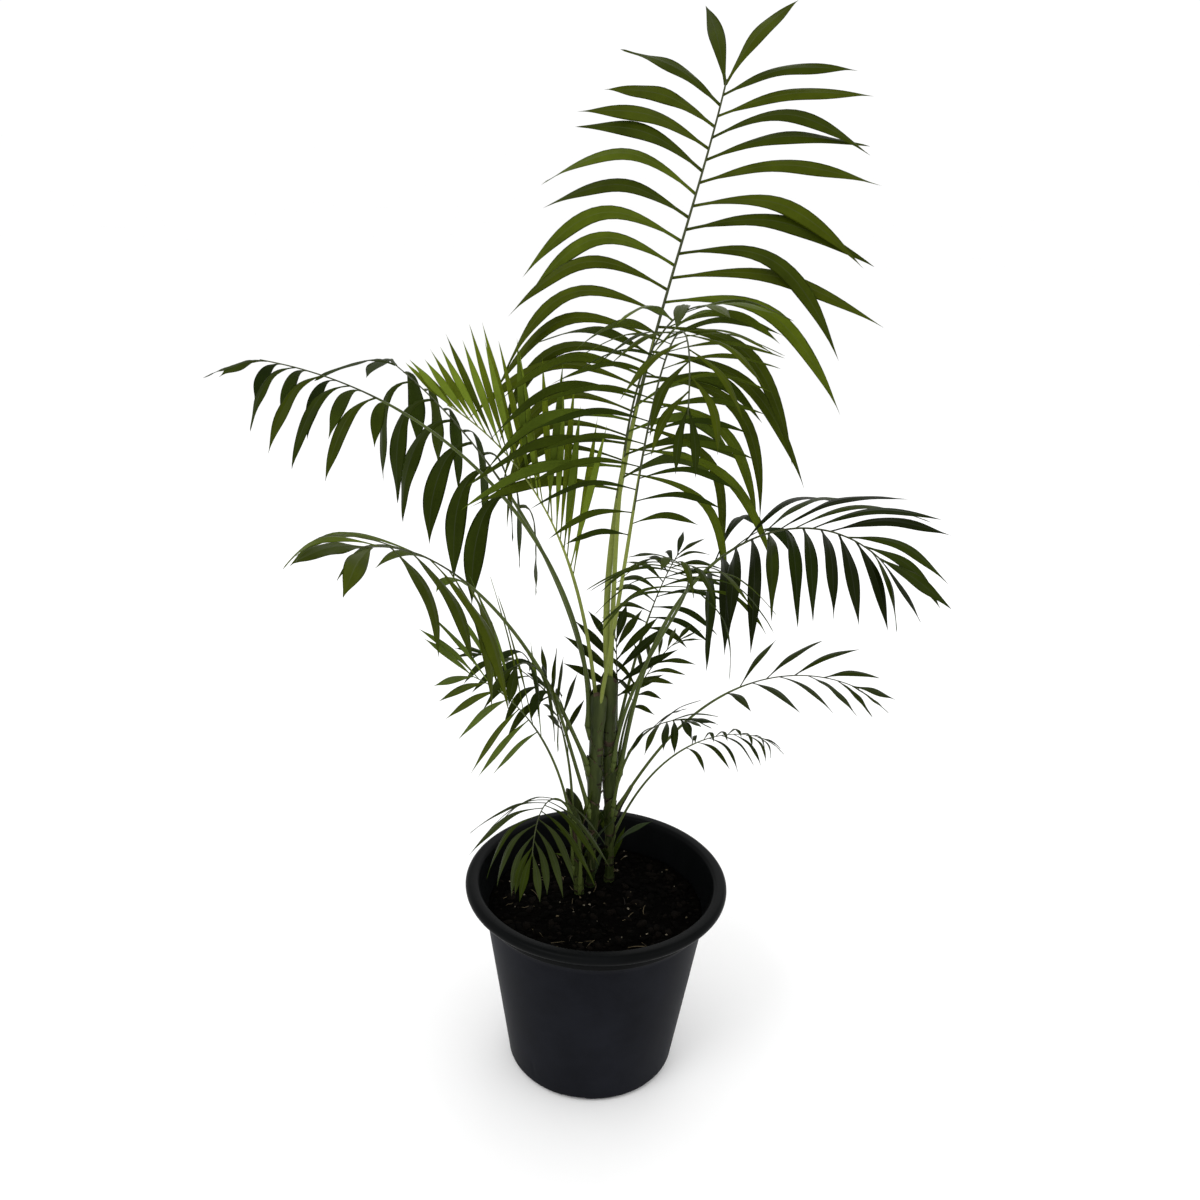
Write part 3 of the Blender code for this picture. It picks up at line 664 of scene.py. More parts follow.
def along(steps, share):
    """Smooth point, width way and thickness way at a share of a leaflet's length."""
    place = share * LEAF_STEPS
    k = min(int(place), LEAF_STEPS - 1)
    t = place - k
    a = steps[max(k - 1, 0)][0]
    b = steps[k][0]
    c = steps[k + 1][0]
    d = steps[min(k + 2, LEAF_STEPS)][0]
    point = 0.5 * (2 * b + (c - a) * t + (2 * a - 5 * b + 4 * c - d) * t * t + (3 * b - a - 3 * c + d) * t * t * t)
    wide = steps[k][1].lerp(steps[k + 1][1], t).normalized()
    thick = steps[k][2].lerp(steps[k + 1][2], t).normalized()
    return point, wide, thick


def fine_leaflet(batch, steps, width, tone, chance):
    """One leaflet: folded at its midrib, pleated, wavy at its edges, closed and half a millimetre thick."""
    fold = math.tan(math.radians(chance.uniform(*FOLD)))
    turn = math.radians(chance.uniform(-LEAF_TURN, LEAF_TURN))
    waves = chance.uniform(1.2, 2.8)
    phase = chance.uniform(0, 2 * math.pi)
    wave = width * chance.uniform(*WAVE)
    across_count = len(ACROSS)
    sides = across_count + len(BELOW)
    points = []
    for k in range(FINE_RINGS):
        share = k / FINE_RINGS
        point, wide, thick = along(steps, share)
        spin = Quaternion(wide.cross(thick), turn * share * share)
        wide = spin @ wide
        thick = spin @ thick
        half = width / 2 * leaflet_shape(share)
        slope = fold * (1 - 0.7 * share)
        deep = FINE_THICKNESS * (1 - 0.5 * share)

        def rise(across):
            ripple = wave * across * across * math.sin(2 * math.pi * waves * share + phase + across)
            return half * slope * (0.45 - abs(across)) + ripple * min(1.0, share * 4)

        for i, across in enumerate(ACROSS):
            pleat = 0.0 if abs(across) == 1 else PLEAT * (1 if i % 2 else -1) * min(1.0, half / 0.006)
            if abs(across) < 0.1:
                pleat = PLEAT
            points.append(point + wide * (half * across) + thick * (rise(across) + pleat))
        for across in BELOW:
            body = deep * (1.5 if across == 0 else 1.0)
            points.append(point + wide * (half * across) + thick * (rise(across) - body))
    points.append(steps[-1][0])
    faces = []
    tones = []
    upper, under, vein = tone
    for k in range(FINE_RINGS):
        for i in range(sides):
            j = (i + 1) % sides
            a = k * sides
            if k == FINE_RINGS - 1:
                faces.append((a + i, a + j, len(points) - 1))
            else:
                faces.append((a + i, a + j, a + sides + j, a + sides + i))
            tones.append(under if i >= across_count - 1 else vein if ACROSS[i] == -0.045 else upper)
    faces.append(tuple(reversed(range(sides))))
    tones.append(under)
    batch.add(points, faces, tones)


def slim_shape(steps, width):
    """Search tree of a leaflet about as thin as it is, without its foot."""
    rings = []
    for k in range(2, LEAF_STEPS + 1, 2):
        point, wide, thick = steps[k]
        half = width / 2 * leaflet_shape(k / LEAF_STEPS) * SLIM_HALF + 0.0002
        rings.append([point - wide * half + thick * SLIM_DEPTH, point + wide * half + thick * SLIM_DEPTH,
                      point + wide * half - thick * SLIM_DEPTH, point - wide * half - thick * SLIM_DEPTH])
    return search_tree(*ring_tube(rings))


def blade_frames(spec, curve):
    """Places along the rib between which the leaflets stand."""
    count = spec["pairs"] * 2
    pitch = (spec["blade"] - GAP) / count
    frames = []
    for k in range(count + 1):
        distance = min(spec["bare"] + GAP + pitch * k, spec["bare"] + spec["blade"])
        frames.append(at_length(spec, curve, distance))
    return frames


def grow_blade(spec, curve, taken, chance):
    """The source's leaflets of one frond, and the roots and moods of those that had no room."""
    frames = blade_frames(spec, curve)
    count = spec["pairs"] * 2
    own = []
    grown = []
    spare = []
    for k in range(count):
        sides = (1, -1) if k == count - 1 else (1,) if k % 2 else (-1,)
        for side in sides:
            root = (frames[k][0] + frames[k + 1][0]) / 2
            tangent = (frames[k][1] + frames[k + 1][1]).normalized()
            over = frames[k][2]
            moods = leaflet_moods(spec, (k + 0.5) / count, chance)
            for other_lift in OTHER_LIFTS:
                fan, lift, droop, length, elbow, roll, width = moods
                steps = leaflet_steps(root, tangent, over, side, (fan, lift + other_lift, droop, length, elbow, roll))
                whole = swollen(spec, steps, width, 0)
                clear = swollen(spec, steps, width, 1 / 12)
                if not touches(whole, taken) and not touches(clear, [pair[1] for pair in own]):
                    own.append((whole, clear))
                    grown.append((steps, width))
                    break
            else:
                spare.append((root, tangent, over, side, moods))
    return grown, spare, [pair[0] for pair in own]


def fill_in(spec, spare, shapes):
    """Leaflets that had no room as solids, where they fit now that all are thin."""
    found = []
    for root, tangent, over, side, moods in spare:
        fan, lift, droop, length, elbow, roll, width = moods
        tries = [(other, size) for size in SPARE_LENGTHS for other in SPARE_LIFTS]
        for other, size in tries:
            steps = leaflet_steps(root, tangent, over, side, (fan, lift + other, droop, length * size, elbow, roll))
            shape = slim_shape(steps, width)
            if not touches(shape, shapes):
                found.append((steps, width))
                shapes.append(shape)
                break
    return found


def make_stalk(name, spec, curve, surfaces):
    """Petiole and rib in one: grooved above, swollen at its foot, tapering to the tip."""
    total = spec["bare"] + spec["blade"]
    way = heading_vector(spec["seat"])
    rings = []
    past = [0.0] * 4
    low = Vector((0.0, 0.0, 1.0))
    on_tip = spec["height"] > CANES[spec["cane"]]["top"]
    for k in range(4):
        height = spec["height"] - FOOT_SUNK * (1 - k / 4)
        shift = frond_foot(spec) - cane_point(spec["cane"], min(height, CANES[spec["cane"]]["top"]))
        shift.z = 0
        keep = 1.0 if on_tip else 0.72 + 0.28 * k / 4
        centre = cane_point(spec["cane"], height) + shift * keep
        radius = spec["rib"] * (1 + FOOT_SWELL) * (0.55 + 0.45 * k / 4)
        rings.append(stalk_ring(centre, low.cross(way) * -1, way * -1, radius, k))
    for k in range(STALK_RINGS + 1):
        share = (k / STALK_RINGS) ** 1.15
        distance = total * share
        point, tangent, over = at_length(spec, curve, distance)
        swell = 1 + FOOT_SWELL * max(0.0, 1 - distance / FOOT_LENGTH) ** 2
        beyond = max(0.0, distance - spec["bare"]) / (spec["blade"] * RIB_CHANGE)
        radius = rib_radius(spec, distance) * swell * (1 - RIB_SLIM * min(1.0, beyond))
        rings.append(stalk_ring(point, tangent.cross(over) * -1, over, radius, k + 4))
        past.append(beyond)
    batch = Batch()
    points, faces = ring_tube(rings)
    tones = [0]
    for k in range(len(rings) - 1):
        for i in range(STALK_SIDES):
            patch = 0.5 + 0.8 * noise.noise(Vector((i * 0.3, k * 0.22, spec["height"] * 200)))
            tones.append(3 if past[k] > patch else 0)
    tones.append(3)
    batch.add(points, faces, tones)
    add_sheath(batch, spec, on_tip)
    stalk = surfaces["stalk_pale"] if name in PALE_STALKS else surfaces["stalk_green"]
    rib = stalk if name in PALE_RIBS else surfaces["stalk_dark"]
    materials = [stalk, surfaces["sheath"], surfaces["paper"], rib]
    piece = batch.piece("stalk_" + name, materials, "petiole", "petiole_" + name)
    return turn_out(piece)


def stalk_ring(centre, across, over, radius, k):
    """Ring of a stalk with a groove along its upper side and faint ridges."""
    ring = []
    for i in range(STALK_SIDES):
        turn = 2 * math.pi * i / STALK_SIDES
        groove = GROOVE * max(0.0, math.sin(turn)) ** 8
        ridge = 0.035 * math.sin(5 * turn + 1) + 0.02 * noise.noise(Vector((i * 0.7, k * 0.35, radius * 900)))
        ring.append(centre + (across * math.cos(turn) + over * math.sin(turn)) * radius * (1 - groove + ridge))
    return ring


def add_sheath(batch, spec, on_tip):
    """Sheath by which a petiole clasps its cane: a split sleeve with an oblique, thin mouth."""
    cane = CANES[spec["cane"]]
    top = min(spec["height"], cane["top"]) + (CROWN_RISE if on_tip else 0.010)
    chance = random.Random(round(spec["height"] * 10000) + spec["seat"])
    length = SHEATH_LENGTH * chance.uniform(0.7, 1.1) * (0.6 if spec["cane"] == "left" else 1.0)
    if on_tip:
        length += CROWN_RISE
    dry = chance.random() < 0.3 and not on_tip
    rings = []
    for k in range(SHEATH_RINGS + 1):
        share = k / SHEATH_RINGS
        outer = []
        inner = []
        for i in range(SHEATH_SIDES + 1):
            side = 2 * i / SHEATH_SIDES - 1
            lean = 0.020 * abs(side) ** 1.5 * share
            height = top - length * (1 - share) - lean
            height = min(height, cane["top"] + CROWN_RISE)
            span = math.radians(165 - 95 * max(0.0, share - 0.35) ** 1.4)
            turn = math.radians(spec["seat"]) + side * span
            rough = noise.noise(Vector((i * 0.5, k * 0.3, spec["height"] * 100)))
            flare = 0.0009 * share * share + 0.00025 * rough
            bulge = spec["rib"] * 1.1 * max(0.0, share - 0.25) ** 1.5 * math.exp(-(side * 2.4) ** 2)
            if on_tip:
                bulge *= 0.3
            above = max(0.0, min(1.0, (height - cane["top"] + 0.022) / 0.020)) if on_tip else 0.0
            reach = cane_radius(spec["cane"], max(height, SOIL_TOP)) + 0.0006 + flare + bulge
            reach += (CROWN_REACH - cane_radius(spec["cane"], cane["top"])) * above
            out = Vector((math.cos(turn), math.sin(turn), 0))
            centre = cane_point(spec["cane"], height)
            thick = SHEATH_THICK * (1 - 0.6 * abs(side) ** 3)
            outer.append(centre + out * reach)
            inner.append(centre + out * (reach - thick))
        rings.append(outer + inner[::-1])
    points, faces = ring_tube(rings)
    count = len(rings[0])
    tones = [1]
    for k in range(SHEATH_RINGS):
        for i in range(count):
            edge = min(i % (SHEATH_SIDES + 1), SHEATH_SIDES - i % (SHEATH_SIDES + 1))
            worn = noise.noise(Vector((i * 0.4, k * 0.6, spec["height"] * 300))) > 0.1
            brown = (edge < 1 and worn) or (k == SHEATH_RINGS - 1 and worn) or (dry and worn) or k == 0
            tones.append(2 if brown else 1)
    tones.append(2)
    batch.add(points, faces, tones)


def turn_out(piece):
    """Turns a piece's faces outward."""
    work = bmesh.new()
    work.from_mesh(piece.data)
    bmesh.ops.recalc_face_normals(work, faces=work.faces)
    work.to_mesh(piece.data)
    work.free()
    return piece


def make_cane_skin(name, order, surfaces):
    """Cane with swollen node rings, fine grooves, and bands of green, cream and brown."""
    chance = random.Random(SEED + 50 + order)
    bottom = SOIL_TOP - 0.006
    top = CANES[name]["top"]
    marks = [SOIL_TOP + 0.008, SOIL_TOP + 0.027]
    while marks[-1] < top - 0.02:
        marks.append(marks[-1] + chance.uniform(*NODE_PITCH))
    rings = []
    for k in range(SKIN_RINGS + 1):
        height = bottom + (top - bottom) * k / SKIN_RINGS
        ring = []
        for i in range(SKIN_SIDES):
            turn = 2 * math.pi * i / SKIN_SIDES
            swell = sum(NODE_SWELL * math.exp(-((height - mark) / NODE_WIDTH) ** 2) for mark in marks)
            wobble = noise.noise(Vector((math.cos(turn) * 2, math.sin(turn) * 2, height * 60)))
            groove = CANE_GROOVE * math.sin(13 * turn + 4 * wobble)
            reach = cane_radius(name, max(height, SOIL_TOP)) * (1 + 0.05 * wobble) + swell + groove
            ring.append(cane_point(name, height) + Vector((math.cos(turn), math.sin(turn), 0)) * reach)
        rings.append(ring)
    points, faces = ring_tube(rings)
    tones = [0]
    for k in range(SKIN_RINGS):
        height = bottom + (top - bottom) * (k + 0.5) / SKIN_RINGS
        for i in range(SKIN_SIDES):
            patch = noise.noise(Vector((i * 0.35, k * 0.09, order * 7.0)))
            near_mark = min(abs(height - mark) for mark in marks)
            if near_mark < 0.0014 + 0.0012 * patch:
                tones.append(2)
            elif height < marks[1]:
                tones.append(0)
            else:
                tones.append(1 if patch > 0.15 else 2 if patch < -0.55 else 0)
    tones.append(1)
    batch = Batch()
    batch.add(points, faces, tones)
    materials = [surfaces["cane_green"], surfaces["cane_cream"], surfaces["cane_brown"]]
    return batch.piece("cane_skin_" + name, materials, "cane", "cane_" + name)


def make_stub_skin(surfaces):
    """Stub of a cut petiole: dry, grooved, with a pale hollowed end."""
    way = heading_vector(STUB["seat"])
    slope = math.radians(STUB["rise"])
    tangent = way * math.cos(slope) + UP * math.sin(slope)
    over = UP * math.cos(slope) - way * math.sin(slope)
    reach = cane_radius(STUB["cane"], STUB["height"]) + STUB["radii"][0] * 1.3 + GAP
    foot = cane_point(STUB["cane"], STUB["height"]) + way * reach
    rings = []
    count = 18
    for k in range(-3, count + 1):
        share = k / count
        radius = STUB["radii"][0] + (STUB["radii"][1] - STUB["radii"][0]) * max(0.0, share)
        radius *= 1 + 0.35 * max(0.0, 1 - share * 5) - 0.25 * max(0.0, share - 0.93) / 0.07
        centre = foot + tangent * (STUB["length"] * share)
        rings.append(stalk_ring(centre, tangent.cross(over) * -1, over, radius, k + 3))
    rings.append(stalk_ring(foot + tangent * (STUB["length"] - 0.002), tangent.cross(over) * -1, over, 0.0009, 40))
    points, faces = ring_tube(rings)
    tones = [0] * len(faces)
    for i in range(STALK_SIDES + 1):
        tones[-1 - i] = 1
    batch = Batch()
    batch.add(points, faces, tones)
    return turn_out(batch.piece("stub_skin", [surfaces["dry"], surfaces["paper"]], "dry_stub", "cut_stub"))


def shell_profile():
    """Pot's profile from its underside's centre, up the outside, over the roll and down the inside."""
    skirt_foot = POT_HEIGHT - SKIRT_DEPTH
    rim_inner = RIM_RADIUS - RIM_WIDTH
    edge = wall_radius(BASE_CORNER) - BASE_CORNER
    profile = [(0.0, 0.0)] + [(r, 0.0) for r in (0.02, 0.045, 0.070, 0.080, 0.083)]
    profile += arc((edge, BASE_CORNER), BASE_CORNER, -90, 0, 7)
    rows = 26
    low = BASE_CORNER + 0.002
    profile += [(wall_radius(low + (skirt_foot - 0.002 - low) * k / rows), low + (skirt_foot - 0.002 - low) * k / rows)
                for k in range(rows + 1)]
    profile += arc((SKIRT_RADIUS - 0.0018, skirt_foot + 0.0018), 0.0018, -80, 0, 4)
    profile += [(SKIRT_RADIUS + SKIRT_LEAN * 0.5, skirt_foot + 0.008), (SKIRT_RADIUS + SKIRT_LEAN, SKIRT_TOP - 0.0015)]
    profile += [(SKIRT_RADIUS + SKIRT_LEAN + 0.001, SKIRT_TOP + 0.0006)]
    profile += arc((RIM_RADIUS - RIM_ROLL, POT_HEIGHT - RIM_ROLL), RIM_ROLL, -86, 86, 14)
    profile += [(RIM_RADIUS - RIM_ROLL - 0.002, POT_HEIGHT - 0.0001), (rim_inner + 0.0045, POT_HEIGHT - 0.0002)]
    profile += [(rim_inner + 0.0025, POT_HEIGHT - 0.0008), (rim_inner + 0.0008, POT_HEIGHT - 0.0024)]
    profile += [(rim_inner, POT_HEIGHT - 0.0045)]
    inner_low = WALL_TOP_RADIUS - WALL
    profile += [(inner_low + (rim_inner - inner_low) * (1 - k / 5), POT_HEIGHT - 0.0045 - 0.0285 * k / 5)
                for k in range(1, 6)]
    profile += [(wall_radius(h) - WALL, h) for h in (SOIL_TOP, 0.150, 0.100, 0.050)]
    profile += [(wall_radius(FLOOR) - WALL - 0.006, FLOOR), (0.05, FLOOR), (0.0, FLOOR)]
    return profile


def notch_share(turn):
    """How far a turn round the pot lies inside a drain notch, 0 to 1."""
    pitch = 360.0 / NOTCH_COUNT
    off = abs((turn - NOTCH_TURN + pitch / 2) % pitch - pitch / 2)
    half = math.degrees(NOTCH_WIDTH / 2 / BASE_RADIUS)
    return max(0.0, min(1.0, (half - off) / (half * 0.22)))


def make_pot_shell(surfaces):
    """Blow-thin nursery pot with a soft roll, faint wall ripples, drain notches and slits."""
    profile = shell_profile()
    inner = profile[1:-1]
    points = [Vector((0, 0, profile[0][1]))]
    highest = max(range(len(inner)), key=lambda k: inner[k][1])
    for k, (radius, height) in enumerate(inner):
        for i in range(SHELL_SIDES):
            degrees = 360.0 * i / SHELL_SIDES
            turn = math.radians(degrees)
            out = Vector((math.cos(turn), math.sin(turn), 0))
            reach = radius
            level = height
            if k < highest and height < NOTCH_HEIGHT and radius > 0.081:
                level = max(height, NOTCH_HEIGHT * notch_share(degrees))
            if k < highest and height > BASE_CORNER:
                ripple = noise.noise(Vector((out.x * 2.2, out.y * 2.2, height * 9)))
                reach += 0.00035 * ripple
            if k < highest and SLIT_HEIGHT[0] < height < SLIT_HEIGHT[1]:
                reach -= SLIT_DEPTH * slit_share(degrees)
            points.append(out * reach + UP * level)
    points.append(Vector((0, 0, profile[-1][1])))
    wall_end = next(k for k in range(len(inner)) if inner[k][1] > POT_HEIGHT - SKIRT_DEPTH)
    faces = []
    tones = []
    # Faces from the band up over the roll and down the inside, and the inner floor, take a darker copy of the pot's
    # black: painted shade.
    for i in range(SHELL_SIDES):
        j = (i + 1) % SHELL_SIDES
        faces.append((0, 1 + j, 1 + i))
        tones.append(0)
        for k in range(len(inner) - 1):
            a = 1 + k * SHELL_SIDES
            b = a + SHELL_SIDES
            faces.append((a + i, a + j, b + j, b + i))
            tones.append(0 if k < wall_end else 1)
        top = 1 + (len(inner) - 1) * SHELL_SIDES
        faces.append((top + i, top + j, len(points) - 1))
        tones.append(1)
    batch = Batch()
    batch.add(points, faces, tones)
    return batch.piece("pot_shell", [surfaces["pot"], surfaces["pot_rim_painted_shade"]], "pot_plastic", "pot")


def slit_share(turn):
    """Narrow upright slits between the drain notches."""
    pitch = 360.0 / NOTCH_COUNT
    off = abs((turn - NOTCH_TURN) % pitch - pitch / 2)
    return max(0.0, 1 - off / 0.9)


def soil_height(x, y):
    """Surface of the potting mix."""
    away = math.hypot(x, y) / wall_radius(SOIL_TOP)
    rough = noise.noise(Vector((x * 40, y * 40, 0))) * 0.0022 + noise.noise(Vector((x * 130, y * 130, 5))) * 0.0011
    rough += noise.noise(Vector((x * 320, y * 320, 9))) * 0.0005
    return SOIL_TOP + SOIL_MOUND * (1 - away) + rough


def make_soil(surfaces):
    """Potting mix: a rough surface closed below, crumbs and bark, pale flecks and bits of straw."""
    limit = wall_radius(SOIL_TOP) - WALL - 0.0004
    rings = 64
    sides = 180
    points = [Vector((0, 0, soil_height(0, 0)))]
    for k in range(1, rings + 1):
        for i in range(sides):
            turn = 2 * math.pi * i / sides
            x = limit * k / rings * math.cos(turn)
            y = limit * k / rings * math.sin(turn)
            points.append(Vector((x, y, soil_height(x, y))))
    base = len(points)
    for i in range(sides):
        turn = 2 * math.pi * i / sides
        points.append(Vector((limit * 0.98 * math.cos(turn), limit * 0.98 * math.sin(turn), SOIL_TOP - 0.02)))
    points.append(Vector((0, 0, SOIL_TOP - 0.02)))
    faces = []
    for i in range(sides):
        j = (i + 1) % sides
        faces.append((0, 1 + i, 1 + j))
        for k in range(rings):
            a = 1 + k * sides
            faces.append((a + i, a + sides + i, a + sides + j, a + j))
        faces.append((base + i, len(points) - 1, base + j))
    batch = Batch()
    batch.add(points, faces, 0)
    batch.piece("soil_surface", [surfaces["soil"]], "potting_mix", "soil")
    add_bits(surfaces, limit)


def ball(steps):
    """Points and faces of a small even ball."""
    work = bmesh.new()
    bmesh.ops.create_icosphere(work, subdivisions=steps, radius=1.0)
    points = [v.co.copy() for v in work.verts]
    faces = [tuple(v.index for v in f.verts) for f in work.faces]
    work.free()
    return points, faces


def add_bits(surfaces, limit):
    """Crumbs, bark chips, pale flecks and straw on the potting mix."""
    chance = random.Random(SEED + 90)
    crumbs = Batch()
    coarse = ball(2)
    small = ball(1)
    for k in range(CLODS):
        size = chance.uniform(0.0009, 0.0028) if chance.random() < 0.85 else chance.uniform(0.003, 0.0055)
        shape = coarse if size > 0.002 else small
        place = ground_place(chance, limit - size)
        add_lump(crumbs, shape, place, size, chance, flat=chance.uniform(0.35, 0.8), tone=0 if chance.random() < 0.7 else 1)
    crumbs.piece("soil_crumbs", [surfaces["crumb"], surfaces["bark"]], "potting_mix")
    flecks = Batch()
    for k in range(FLECKS):
        size = chance.uniform(0.0006, 0.0016)
        place = ground_place(chance, limit - 0.004) + UP * 0.001
        add_lump(flecks, small, place, size, chance, flat=0.6, tone=0 if chance.random() < 0.6 else 1)
    flecks.piece("soil_flecks", [surfaces["fleck"], surfaces["straw"]], "potting_mix")
    straws = Batch()
    for k in range(STRAWS):
        add_straw(straws, ground_place(chance, limit - 0.014) + UP * 0.0012, chance)
    straws.piece("soil_straw", [surfaces["straw"], surfaces["dry"]], "potting_mix")


def ground_place(chance, limit):
    """A point on the potting mix, away from the canes."""
    while True:
        turn = chance.uniform(0, 2 * math.pi)
        away = limit * math.sqrt(chance.random())
        x = away * math.cos(turn)
        y = away * math.sin(turn)
        feet = [Vector((*spec["foot"], 0)) for spec in CANES.values()]
        if all(math.hypot(x - foot.x, y - foot.y) > 0.009 for foot in feet):
            return Vector((x, y, soil_height(x, y)))


def add_lump(batch, shape, place, size, chance, flat, tone):
    """An uneven lump with a turn of its own, half sunk."""
    spin = Quaternion(UP, chance.uniform(0, 6.28)) @ Quaternion(Vector((1, 0, 0)), chance.uniform(-0.5, 0.5))
    shift = chance.uniform(0, 90)
    long = chance.uniform(1.0, 1.9)
    points = []
    for p in shape[0]:
        bumpy = 1 + 0.38 * noise.noise(p * 1.3 + Vector((shift, 0, 0)))
        points.append(place + spin @ Vector((p.x * long, p.y, p.z * flat)) * (size * bumpy))
    batch.add(points, shape[1], tone)


def add_straw(batch, place, chance):
    """A thin bent bit of straw lying on the potting mix."""
    way = heading_vector(chance.uniform(0, 360))
    curl = chance.uniform(-60, 60)
    length = chance.uniform(0.008, 0.026)
    radius = chance.uniform(0.0003, 0.0006)
    rings = []
    point = place - way * (length / 2)
    for k in range(9):
        way = Quaternion(UP, math.radians(curl / 8)) @ way
        side = UP.cross(way)
        height = soil_height(point.x, point.y) + 0.0011
        centre = Vector((point.x, point.y, height + 0.0008 * math.sin(k * 0.8)))
        taper = radius * (1 - 0.5 * abs(k - 4) / 4)
        rings.append(round_ring(centre, side, UP, taper, 6))
        point = point + way * (length / 8)
    points, faces = ring_tube(rings)
    batch.add(points, faces, 0 if chance.random() < 0.8 else 1)


def make_fronds(surfaces, leaves):
    """Stalks and leaflets of all fronds."""
    nodes = frame["nodes"]
    limbs = [node_tree(nodes["cane_" + name]) for name in CANES]
    limbs.append(node_tree(nodes["cut_stub"]))
    limbs += [node_tree(nodes["petiole_" + name]) for name in FRONDS]
    curves = {name: frond_curve(spec) for name, spec in FRONDS.items()}
    ribs = {name: rib_tree(spec, curves[name]) for name, spec in FRONDS.items()}
    solid = []
    grown = {}
    spare = {}
    for order, (name, spec) in enumerate(FRONDS.items()):
        taken = limbs + solid + [rib for owner, rib in ribs.items() if owner != name]
        grown[name], spare[name], shapes = grow_blade(spec, curves[name], taken, random.Random(SEED + order))
        solid += shapes
    slim = {name: [slim_shape(*each) for each in grown[name]] for name in FRONDS}
    left_out = 0
    for order, (name, spec) in enumerate(FRONDS.items()):
        others = limbs[:4] + [rib for owner, rib in ribs.items() if owner != name]
        others += [shape for shapes in slim.values() for shape in shapes]
        extra = fill_in(spec, spare[name], others)
        left_out += len(spare[name]) - len(extra)
        slim[name] += [slim_shape(*each) for each in extra]
        tones, slot = FROND_TONES[name]
        chance = random.Random(SEED + 200 + order)
        kinds = sorted(set(tones))
        batch = Batch()
        for steps, width in grown[name] + extra:
            start = 3 * kinds.index(chance.choice(tones))
            fine_leaflet(batch, steps, width, (start, start + 1, start + 2), chance)
        materials = [each for kind in kinds for each in leaves[kind]]
        turn_out(batch.piece("leaflets_" + name, materials, slot, "frond_" + name))
        make_stalk(name, spec, curves[name], surfaces)
    print("leaflets", sum(len(shapes) for shapes in slim.values()), "left out", left_out)
    make_scales(surfaces, leaves, [shape for shapes in slim.values() for shape in shapes])


def make_scales(surfaces, leaves, shapes):
    """Short pointed scale leaves, green or papery, that spring from the feet of the canes."""
    chance = random.Random(SEED + 400)
    batch = Batch()
    for name, count in SCALES.items():
        for _ in range(count):
            height = SOIL_TOP + chance.uniform(*SCALE_RISE)
            out = heading_vector(chance.uniform(0, 360))
            root = cane_point(name, height) + out * (cane_radius(name, height) * 0.9)
            moods = (90, chance.uniform(*SCALE_LEAN), chance.uniform(*SCALE_DROOP), chance.uniform(*SCALE_LENGTH),
                     ELBOW, chance.uniform(-40, 40))
            width = chance.uniform(*SCALE_WIDTH)
            start = 3 * chance.randrange(len(SCALE_TONES))
            steps = leaflet_steps(root, UP.cross(out), out, 1, moods)
            shape = slim_shape(steps, width)
            if touches(shape, shapes):
                continue
            shapes.append(shape)
            fine_leaflet(batch, steps, width, (start, start + 1, start + 2), chance)
    materials = [each for tone in SCALE_TONES for each in leaves.get(tone, (surfaces["paper"],) * 3)]
    turn_out(batch.piece("scale_leaves", materials, "leaf_dark"))


def make_surfaces():
    """All surfaces but the leaves'."""
    made = {
        # Blue-black plastic, partly painted sheen: the blue cast stands in for a bluish reflection along the wall.
        "pot": surface("pot_black_and_blue_sheen", (0.0074, 0.0080, 0.0108), 0.46, vary=0.25, scale=14, fine=240, bump=0.10,
                       reach=0.0004, rough_vary=0.10, specular=0.02),
        # Darker copy of the pot's black for its band, roll and inside: painted shade.
        "pot_rim_painted_shade": surface("pot_rim_painted_shade", (0.0030, 0.0034, 0.0036), 0.36, vary=0.25, scale=14, fine=240, bump=0.10,
                           reach=0.0004, rough_vary=0.10, specular=0.03),
        "soil": surface("soil_dark", (0.0011, 0.0009, 0.0007), 0.95, vary=0.5, scale=160, fine=900, bump=0.8,
                        reach=0.0012, specular=0.01),
        "crumb": surface("soil_crumb", (0.0013, 0.0011, 0.0008), 0.92, vary=0.55, scale=220, fine=1200, bump=0.7,
                         reach=0.0008, specular=0.02),
        "bark": surface("soil_bark", (0.0032, 0.0024, 0.0017), 0.90, vary=0.5, scale=150, fine=1000, bump=0.7,
                        reach=0.0006, stretch=(1, 3, 1), specular=0.03),
        "fleck": surface("soil_fleck", (0.16, 0.14, 0.10), 0.85, vary=0.4, scale=400, fine=1500, bump=0.5,
                         specular=0.2),
        "straw": surface("soil_straw", (0.075, 0.058, 0.030), 0.80, vary=0.4, scale=300, fine=1200, bump=0.5,
                         specular=0.2),
        "cane_green": surface("cane_green", (0.015, 0.023, 0.006), 0.42, vary=0.3, scale=90, fine=700,
                              stretch=(1, 1, 0.25), other=(0.030, 0.040, 0.010), specular=0.12),
        "cane_cream": surface("cane_cream", (0.030, 0.037, 0.011), 0.48, vary=0.3, scale=110, fine=700,
                              stretch=(1, 1, 0.2), other=(0.060, 0.066, 0.024), specular=0.12),
        "cane_brown": surface("cane_brown", (0.0080, 0.0070, 0.0035), 0.75, vary=0.4, scale=140, fine=900, bump=0.5,
                              stretch=(1, 1, 0.3), other=(0.020, 0.016, 0.008), specular=0.08),
        "sheath": surface("sheath_green", (0.020, 0.030, 0.006), 0.45, vary=0.28, scale=120, fine=800,
                          stretch=(1, 1, 0.12), other=(0.046, 0.060, 0.014), specular=0.12),
        "paper": surface("sheath_paper", (0.030, 0.021, 0.012), 0.80, vary=0.35, scale=160, fine=900, bump=0.5,
                         stretch=(1, 1, 0.15), other=(0.080, 0.056, 0.036), specular=0.1),
        "dry": surface("dry_brown", (0.012, 0.008, 0.005), 0.80, vary=0.4, scale=160, fine=900, bump=0.5,
                       stretch=(1, 1, 0.3), specular=0.2),
    }
    for name, colour in STALK_COLOURS.items():
        made[name] = surface(name, colour, 0.42, vary=0.22, scale=45, fine=700, stretch=(1, 1, 0.3), specular=0.12)
    return made


